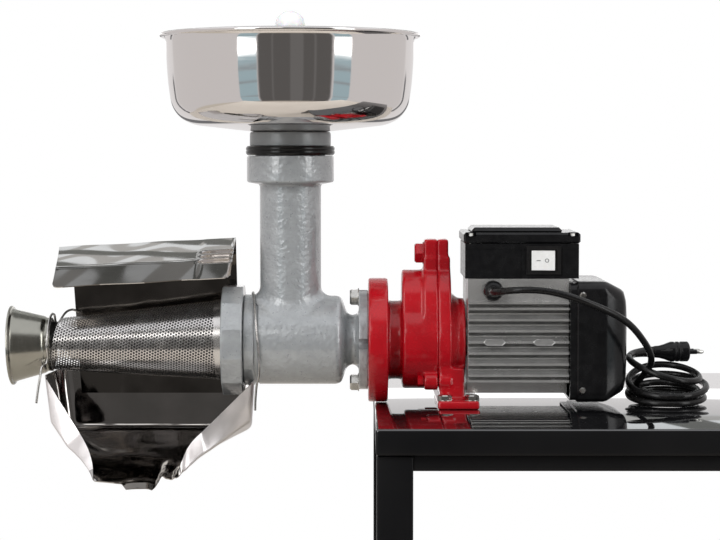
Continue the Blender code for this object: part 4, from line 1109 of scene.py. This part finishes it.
def tray():
    """The folded sheet tray with its hand-beaten spout."""
    shape = bmesh.new()
    spots = {name: shape.verts.new(co) for name, co in TRAY.items()}
    for one, two in TRAY_MIDDLE:
        corners = (f"{one}_left", f"{one}_right", f"{two}_right", f"{two}_left")
        shape.faces.new([spots[n] for n in corners])
    for side in ("left", "right"):
        for face in TRAY_SIDES:
            shape.faces.new([spots[f"{n}_{side}"] for n in face])
    bmesh.ops.recalc_face_normals(shape, faces=shape.faces)
    folds = shape.edges.layers.float.new("crease_edge")
    for edge in shape.edges:
        if len(edge.link_faces) == 1:
            edge[folds] = 1.0
        elif edge.calc_face_angle() > math.radians(20):
            beaten = all(v.co.y < -0.05 or v.co.z < -0.045 for v in edge.verts)
            edge[folds] = 0.55 if beaten else 0.95
    mesh = bpy.data.meshes.new("tray")
    shape.to_mesh(mesh)
    shape.free()
    obj = wrap("tray", mesh, "sheet", 180)
    fine = obj.modifiers.new("fine", "SUBSURF")
    fine.levels = fine.render_levels = 5
    obj = bake(obj, 60)
    noise.seed_set(DENT_SEED)
    for vert in obj.data.vertices:
        co = vert.co
        near_lip = unit((-co.y - 0.03) / 0.05) * unit((-co.z - 0.02) / 0.03)
        dent = 0.0004 + 0.0016 * near_lip
        grain = noise.noise_vector(co * 70 + Vector((3, 1, 7)))
        wave = noise.noise_vector(co * 24) * dent + grain * dent * 0.3
        fold = swell(co.x, -0.301, 0.0035) - 0.5 * swell(co.x, -0.309, 0.005)
        small = math.sin((co.x + 0.29) * 900) * swell(co.x, -0.288, 0.01)
        vert.co = co + wave + Vector((0, -0.3, 1)) * (0.005 * fold + 0.0007 * small) * near_lip
    thick = obj.modifiers.new("thick", "SOLIDIFY")
    thick.thickness = 0.0011
    thick.offset = 0.0
    obj = bake(obj, 50)
    hole = [(0, -0.242), (0.05, -0.242), (0.05, -0.19), (0, -0.19)]
    obj = carve(obj, lathe("hole", hole, "sheet", MILL_AXIS, "X", 96))
    obj.data.materials.append(LOOKS["satin"])
    obj.data.materials.append(LOOKS["shade_steel"])
    inside = Vector((-0.325, 0.0, 0.03))
    for face in obj.data.polygons:
        if face.center.y > -0.083 and face.normal.dot(face.center - inside) > 0:
            face.material_index = 1
        # painted shade: the spout's tip takes the darker steel, standing in for a darker reflection
        elif face.center.y < -0.0935:
            face.material_index = 2
    show(obj, "frame", "sheet_steel", "drip_tray")


def hood():
    """The bent roof with pressed ribs at its right end, and the panel that stands in the tray."""
    right, rise = -0.235, 0.01
    roof = [(0.06, 0.16), (-0.008, 0.1415), (-0.045, 0.1235)]
    shape = bmesh.new()
    columns, rows = 96, 110
    path = rounded(roof, [0.0, 0.004, 0.0], 6)
    total = sum(math.dist(a, b) for a, b in zip(path, path[1:], strict=False))

    def along(share):
        """The (y, z) at a share of the way from the roof's back to its brim."""
        reach = share * total
        for a, b in zip(path, path[1:], strict=False):
            step = math.dist(a, b)
            if reach <= step:
                return (a[0] + (b[0] - a[0]) * reach / step, a[1] + (b[1] - a[1]) * reach / step)
            reach -= step
        return path[-1]

    fold_share = math.dist(roof[0], roof[1]) / total
    round_off, width = 0.007, 0.188
    grid = []
    for i in range(columns + 1):
        part = i / columns
        near = min(part, 1 - part) * width
        cut_in = max(0.0, round_off - math.sqrt(max(0.0, round_off**2 - max(0.0, round_off - near) ** 2)))
        row = []
        for j in range(rows + 1):
            share = (1 - cut_in / total) * j / rows
            y, z = along(share)
            left = -0.419 - 0.007 * (1 - share) ** 2
            x = left + (right - left) * part
            rib_zone = min(1.0, max(0.0, (x + 0.272) / 0.006), max(0.0, (right - x) / 0.0015))
            spot = (share - 0.38) / 0.33
            rib = 0.0014 * math.sin(spot * 6 * math.pi) * rib_zone if 0 < spot < 1 else 0.0
            bow = 0.001 * math.sin(math.pi * min(1.0, share / fold_share))
            wave = 0.00035 * math.sin(x * 75 + share * 4) * (1 - rib_zone)
            row.append(shape.verts.new((x, y, z + rise * part + rib + bow + wave)))
        grid.append(row)
    for i in range(columns):
        for j in range(rows):
            shape.faces.new((grid[i][j], grid[i + 1][j], grid[i + 1][j + 1], grid[i][j + 1]))
    roof_obj = build("roof", shape, "hood", 60)
    panel_shape = bmesh.new()
    corners = [(-0.403, 0.061, 0.002), (-0.231, 0.061, 0.002), (right, 0.06, 0.16 + rise),
               (-0.413, 0.06, 0.1608)]
    panel_shape.faces.new([panel_shape.verts.new(c) for c in corners])
    panel = build("panel", panel_shape, "hood", 60)
    made = []
    for obj in (roof_obj, panel):
        thick = obj.modifiers.new("thick", "SOLIDIFY")
        thick.thickness = 0.001
        thick.offset = 0.0
        made.append(bake(obj, 60))
    sheet = together("hood", made, "hood", 60)
    # painted shade: the panel's faces turned to -Y take the darker steel; its back keeps the hood steel
    sheet.data.materials.append(LOOKS["shade_steel"])
    for face in sheet.data.polygons:
        if face.normal.y < -0.9:
            face.material_index = 1
    show(sheet, "hood", "sheet_steel", "splash_hood")


def wires():
    """The two bent wires that hold the tray up, at the funnel and behind the ring nut."""
    reach, sag = 0.0321, math.sin(CONE_DROOP) * 0.189
    left = [(-0.4045, 0.056, 0.0905), (-0.412, 0.053, 0.093)]
    for k in range(6):
        a = math.radians(40 + 34 * k)
        left.append((-0.4238 - 0.0007 * k, reach * math.cos(a), MILL_Z - sag + reach * math.sin(a)))
    left += [(-0.4315, -0.0335, 0.04), (-0.4325, -0.0375, 0.031), (-0.4345, -0.0395, 0.018),
             (-0.4365, -0.04, 0.003)]
    reach = 0.0499
    right = [(-0.2196, 0.057, 0.027), (-0.2196, 0.0545, 0.04)]
    for k in range(8):
        a = math.radians(5 + 27 * k)
        right.append((-0.2196 + 0.002 * k, reach * math.cos(a), MILL_Z + reach * math.sin(a)))
    right += [(-0.2055, -0.0462, 0.033), (-0.2075, -0.045, 0.024), (-0.209, -0.044, 0.01),
              (-0.2096, -0.044, -0.004)]
    show(tube("wire_left", left, 0.00125, "wire"), "frame", "wire_steel", "tray_clip_left")
    show(tube("wire_right", right, 0.00125, "wire"), "frame", "wire_steel", "tray_clip_right")


# ---------------------------------------------------------------- gearbox
def copied(node, name=None):
    """A loose copy of a CAD node's mesh."""
    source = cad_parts[node]
    mesh = source.data.copy()
    mesh.materials.clear()
    obj = bpy.data.objects.new(name or f"{node}_copy", mesh)
    bpy.context.scene.collection.objects.link(obj)
    return obj


def loose(node, look, bevel=0.0005, angle=30, segments=2, crease=40):
    """A CAD node's own shape, edges rounded and curves smooth."""
    obj = copied(node, f"{node}_look")
    obj.data.materials.append(LOOKS[look])
    if bevel:
        soft = obj.modifiers.new("soft", "BEVEL")
        soft.width = bevel
        soft.segments = segments
        soft.limit_method = "ANGLE"
        soft.angle_limit = math.radians(angle)
        soft.use_clamp_overlap = True
    return bake(obj, crease)


def refined(node, body, slot, look, bevel=0.0005, angle=30, segments=2, crease=40):
    """Stand for a CAD node with a refined copy of it."""
    return show(loose(node, look, bevel, angle, segments, crease), body, slot, node)


def hull_outline(low_r, high_r, low_z, high_z):
    """The outline round two circles, the larger below."""
    steps = 48
    gap = high_z - low_z
    tilt = math.asin((low_r - high_r) / gap)
    points = []
    for k in range(steps + 1):
        a = tilt + (math.pi - 2 * tilt) * k / steps
        points.append((high_r * math.cos(a), high_z + high_r * math.sin(a)))
    for k in range(steps + 1):
        a = math.pi - tilt + (math.pi + 2 * tilt) * k / steps
        points.append((low_r * math.cos(a), low_z + low_r * math.sin(a)))
    return points


LAY_Z = 0.103
LAY_AXIS = Vector((0, 0, LAY_Z))


def bore(radius, low, high, axis):
    """A cutter for a bearing's or a shaft's seat."""
    return lathe("bore", [(0, low), (radius, low), (radius, high), (0, high)], "red", axis, "X", 64)


def room(low, high):
    """A cutter for the space that the gears turn in."""
    return prism("room", hull_outline(0.044, 0.032, MILL_Z, LAY_Z), low, high, "red")


def gearbox():
    """Both halves of the red casting, their soft cast corners, and the bolts."""
    grow = 0.00025
    disc = [(0.03, -0.0924), (0.0652, -0.0924), (0.0652, -0.0717), (0.0412, -0.0717), (0.0412, -0.056),
            (0.03, -0.056)]
    cup = hull_outline(0.0485 + grow, 0.0362 + grow, MILL_Z, LAY_Z)
    rim = hull_outline(0.051 + grow, 0.0387 + grow, MILL_Z, LAY_Z)
    belly = hull_outline(0.0511, 0.028, MILL_Z, LAY_Z - 0.002)
    rear = [copied("gearbox_housing")]
    rear.append(lathe("disc", disc, "red", MILL_AXIS, "X", 128))
    shell = carve(prism("cup", cup, -0.0574, -0.0345, "red"), room(-0.054, -0.03))
    lip = carve(prism("lip", rim, -0.035, -0.0196, "red"), room(-0.04, -0.01))
    full = carve(prism("belly", belly, -0.056, -0.03, "red"), room(-0.053, -0.02))
    neck = block("neck", (-0.0345, -0.0143, 0.12), (-0.0196, 0.0143, 0.1522), "red", 0.0)
    cap = block("cap", (-0.0338, -0.0128, 0.1505), (-0.0196, 0.0128, 0.1716), "red", 0.0)
    rear += [shell, lip, full, neck, cap]
    housing = melted("gearbox_rear_half", rear, "red")
    seats = [bore(0.0213, -0.0768, -0.053, MILL_AXIS), bore(0.0056, -0.0568, -0.052, LAY_AXIS)]
    housing = carve(housing, room(-0.0534, -0.019), *seats, crease=MELT_CREASE)
    show(housing, "frame", "red_enamel", "gearbox_housing")
    front = [copied("gearbox_cover")]
    front.append(carve(prism("lip", rim, -0.0204, -0.0063, "red"), room(-0.03, 0.0)))
    collar = [(0.03, -0.007), (0.05, -0.007), (0.047, -0.0035), (0.0432, 0.001), (0.0427, 0.0088),
              (0.0405, 0.0088), (0.0405, 0.0000), (0.03, -0.003)]
    front.append(lathe("pilot", collar, "red", MOTOR_AXIS - Vector((0, 0, 0.0012)), "X", 128))
    front.append(block("neck", (-0.0204, -0.0143, 0.12), (-0.0068, 0.0143, 0.1522), "red", 0.0))
    front.append(block("cap", (-0.0204, -0.0128, 0.1505), (-0.009, 0.0128, 0.1716), "red", 0.0))
    cover = melted("gearbox_front_half", front, "red")
    seat = bore(0.0056, -0.013, -0.0075, LAY_AXIS)
    cover = carve(cover, room(-0.021, -0.012), seat, crease=MELT_CREASE)
    show(cover, "frame", "red_enamel", "gearbox_cover")

    top = middle("gearbox_bolt_top")
    place = (-0.0353, top.y, top.z)
    made = hex_bolt("gearbox_top_screw", place, (1, 0, 0), 0.02, 0.0085, 0.005, 0.012, "red", 0.0115)
    show(made, "frame", "red_enamel", "gearbox_bolt_top")
    for node in ("gearbox_bolt_front", "gearbox_bolt_rear"):
        refined(node, "frame", "red_enamel", "red", 0.0004)


# ---------------------------------------------------------------- motor
def motor():
    """The finned frame, the end shield, and the fan's cover with its slots and screws."""
    pieces = [loose("motor_frame", "motor", 0.0004, 30, 2)]
    # between two fin tips a hollow groove fills the CAD's plain one
    tips = [0.0278, *(0.0335 + 0.01147 * k for k in range(7)), 0.1083]
    rim = 0.001
    for low, high in zip(tips, tips[1:], strict=False):
        for way in (-1, 1):
            arc = []
            for k in range(17):
                t = k / 16
                depth = 0.0503 + 0.0068 * (2 * t - 1) ** 2
                arc.append((way * depth, low + rim + (high - low - 2 * rim) * t))
            outline = [(way * 0.0498, low + rim), *arc, (way * 0.0498, high - rim)]
            pieces.append(prism("groove", outline, 0.0106, 0.1134, "motor", crease=60))
    for x in (0.026, 0.077):
        for way in (-1, 1):
            pad = [(x, 0.0679), (x + 0.003, 0.0709), (x + 0.019, 0.0709), (x + 0.022, 0.0679),
                   (x + 0.019, 0.0649), (x + 0.003, 0.0649)]
            lines = [Vector((u, way * 0.0588, v)) for u, v in pad]
            edge = tube("pad_rim", [*lines, lines[0]], 0.0005, "motor", smooth=False, sides=2)
            pieces.append(bake(edge, 60))
    finned = together("finned_frame", pieces, "motor", 40)
    # painted shade: faces on the finned sides that look downwards take the dark shade look
    finned.data.materials.append(LOOKS["shade"])
    for face in finned.data.polygons:
        sideways = face.center.z < tips[-1] and abs(face.center.y) > 0.0499
        if sideways and face.normal.z < -0.42:
            face.material_index = 1
    show(finned, "frame", "motor_grey", "motor_frame")
    refined("end_shield", "frame", "motor_grey", "motor", 0.0005)
    show(fan_cup(), "frame", "black_plastic", "fan_cover")
    for k in range(4):
        refined(f"fan_cover_screw_{k + 1}", "frame", "zinc", "zinc", 0.0002)
        refined(f"lid_screw_{k + 1}", "frame", "zinc", "zinc", 0.0002)


def fan_cup():
    """The fan's cover: square loops of (x, half width, corner radius), hollow, with slots in its end."""
    loops = [
        (0.1144, 0.0598, 0.01), (0.1146, 0.0604, 0.01), (0.1212, 0.0604, 0.01), (0.122, 0.0618, 0.012),
        (0.1228, 0.0624, 0.012), (0.149, 0.0622, 0.012), (0.153, 0.0614, 0.0125), (0.168, 0.0538, 0.014),
        (0.1712, 0.0512, 0.014), (0.1738, 0.044, 0.013), (0.1756, 0.033, 0.012), (0.1762, 0.027, 0.011),
    ]
    wall, thin_wall = 0.0024, 0.0018
    inner = []
    for x, half, corner in loops:
        end, side = (wall if x > 0.15 else 0), (thin_wall if x < 0.1215 else wall)
        inner.append((x - end, half - side, corner - 0.002))
    shape = bmesh.new()
    rows = []
    for x, half, corner in inner[::-1] + loops:
        row = []
        for q, (sy, sz) in enumerate(((1, 1), (-1, 1), (-1, -1), (1, -1))):
            for k in range(13):
                a = math.radians(90 * q + 90 * k / 12)
                y = sy * (half - corner) + corner * math.cos(a)
                z = MOTOR_Z + sz * (half - corner) + corner * math.sin(a)
                row.append(shape.verts.new((x, y, z)))
        rows.append(row)
    count = len(rows[0])
    for one, two in zip(rows, rows[1:], strict=False):
        for k in range(count):
            j = (k + 1) % count
            shape.faces.new((one[k], one[j], two[j], two[k]))
    shape.faces.new(rows[-1])
    shape.faces.new(rows[0])
    cover = build("fan_cup", shape, "black", 40)
    cutters = []
    for ring_r, number, long in ((0.013, 8, 0.006), (0.024, 12, 0.0075)):
        for k in range(number):
            a = 2 * math.pi * k / number
            low, high = (0.165, ring_r - long / 2, -0.0017), (0.18, ring_r + long / 2, 0.0017)
            slot = block("slot", low, high, "black", 0.0)
            slot.data.transform(Matrix.Translation(MOTOR_AXIS) @ Matrix.Rotation(a, 4, "X"))
            cutters.append(slot)
    for way in (-1, 1):
        for z in (0.0185, 0.1165):
            hole = [(0, way * 0.054), (0.0023, way * 0.054), (0.0023, way * 0.07), (0, way * 0.07)]
            cutters.append(lathe("screw_hole", hole, "black", (0.1272, 0, z), "Y", 20))
    return carve(cover, *cutters)


def switch_box():
    """The box on the motor with its lid, and the rocker with a dash and a ring on it."""
    box = loose("terminal_box", "black", 0.0012, 40, 3)
    low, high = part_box("terminal_box")
    face = low.y
    seams = [
        ((x - 0.0005, face - 0.01, low.z + 0.0015), (x + 0.0005, face + 0.0007, high.z - 0.006))
        for x in (0.0645, 0.1062)
    ]
    level = high.z - 0.0062
    seams.append(((low.x - 0.001, face - 0.01, level), (high.x + 0.001, face + 0.0005, level + 0.001)))
    grooves = [block("seam", *ends, "black", 0.0) for ends in seams]
    show(carve(box, *grooves), "frame", "black_plastic", "terminal_box")
    lid = loose("terminal_lid", "black", 0.0012, 40, 3)
    notches = []
    for x in (0.013, 0.118):
        for side in (-1, 1):
            near, far = sorted((side * 0.044, side * 0.06))
            low, high = (x - 0.0052, near, 0.1765), (x + 0.0052, far, 0.19)
            notches.append(block("notch", low, high, "black", 0.0))
    show(carve(lid, *notches), "frame", "black_plastic", "terminal_lid")
    refined("switch_frame", "frame", "black_plastic", "dull", 0.0006, 40, 3)
    refined("switch_rocker", "rocker", "white_plastic", "white", 0.0006, 12, 3)
    low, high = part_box("switch_rocker")
    level = (low.z + high.z) / 2
    dash = block("dash", (-0.002, -0.0002, -0.0004), (0.002, 0.0002, 0.0004), "mark", 0.0001)
    ring = lathe("ring", [(0.0014, -0.0002), (0.0021, -0.0002), (0.0021, 0.0002), (0.0014, 0.0002)], "mark",
                 (0, 0, 0), "Y", 32)
    for obj, x, y, tilt in ((dash, 0.0822, -0.05325, -2.4), (ring, 0.0908, -0.05428, -15.5)):
        obj.data.transform(Matrix.Rotation(math.radians(tilt), 4, "Z"))
        obj.data.transform(Matrix.Translation((x, y, level)))
        show(obj, "rocker", "white_plastic")


# ---------------------------------------------------------------- what is hidden inside
def insides():
    """The pieces inside keep the CAD shapes and take their own materials."""
    # the auger's alloy look is darkened as painted shade
    refined("auger", "screw", "auger_alloy", "alloy", 0.0, crease=62)
    seen("machined_steel", "iron", "output_shaft", "output_gear")
    seen("machined_steel", "iron", "intermediate_gear", "intermediate_pinion")
    seen("machined_steel", "iron", "rotor_shaft", "rotor_core")
    seen("black_plastic", "dull", "cooling_fan")
    seen("bush_bronze", "bronze", "auger_bush")
    seen("machined_steel", "iron", "output_bearing_front", "output_bearing_rear", "motor_bearing_front",
         "motor_bearing_rear", "stator_core")
    seen("winding_copper", "copper", "stator_winding")
    seen("capacitor_can", "can", "capacitor")


def main():
    """Build every look, the studio and the camera."""
    make_materials()
    camera()
    studio()
    stage()
    lead()
    casting()
    bolts()
    ring_nut()
    perforated()
    hopper()
    tray()
    hood()
    wires()
    gearbox()
    motor()
    switch_box()
    insides()


main()
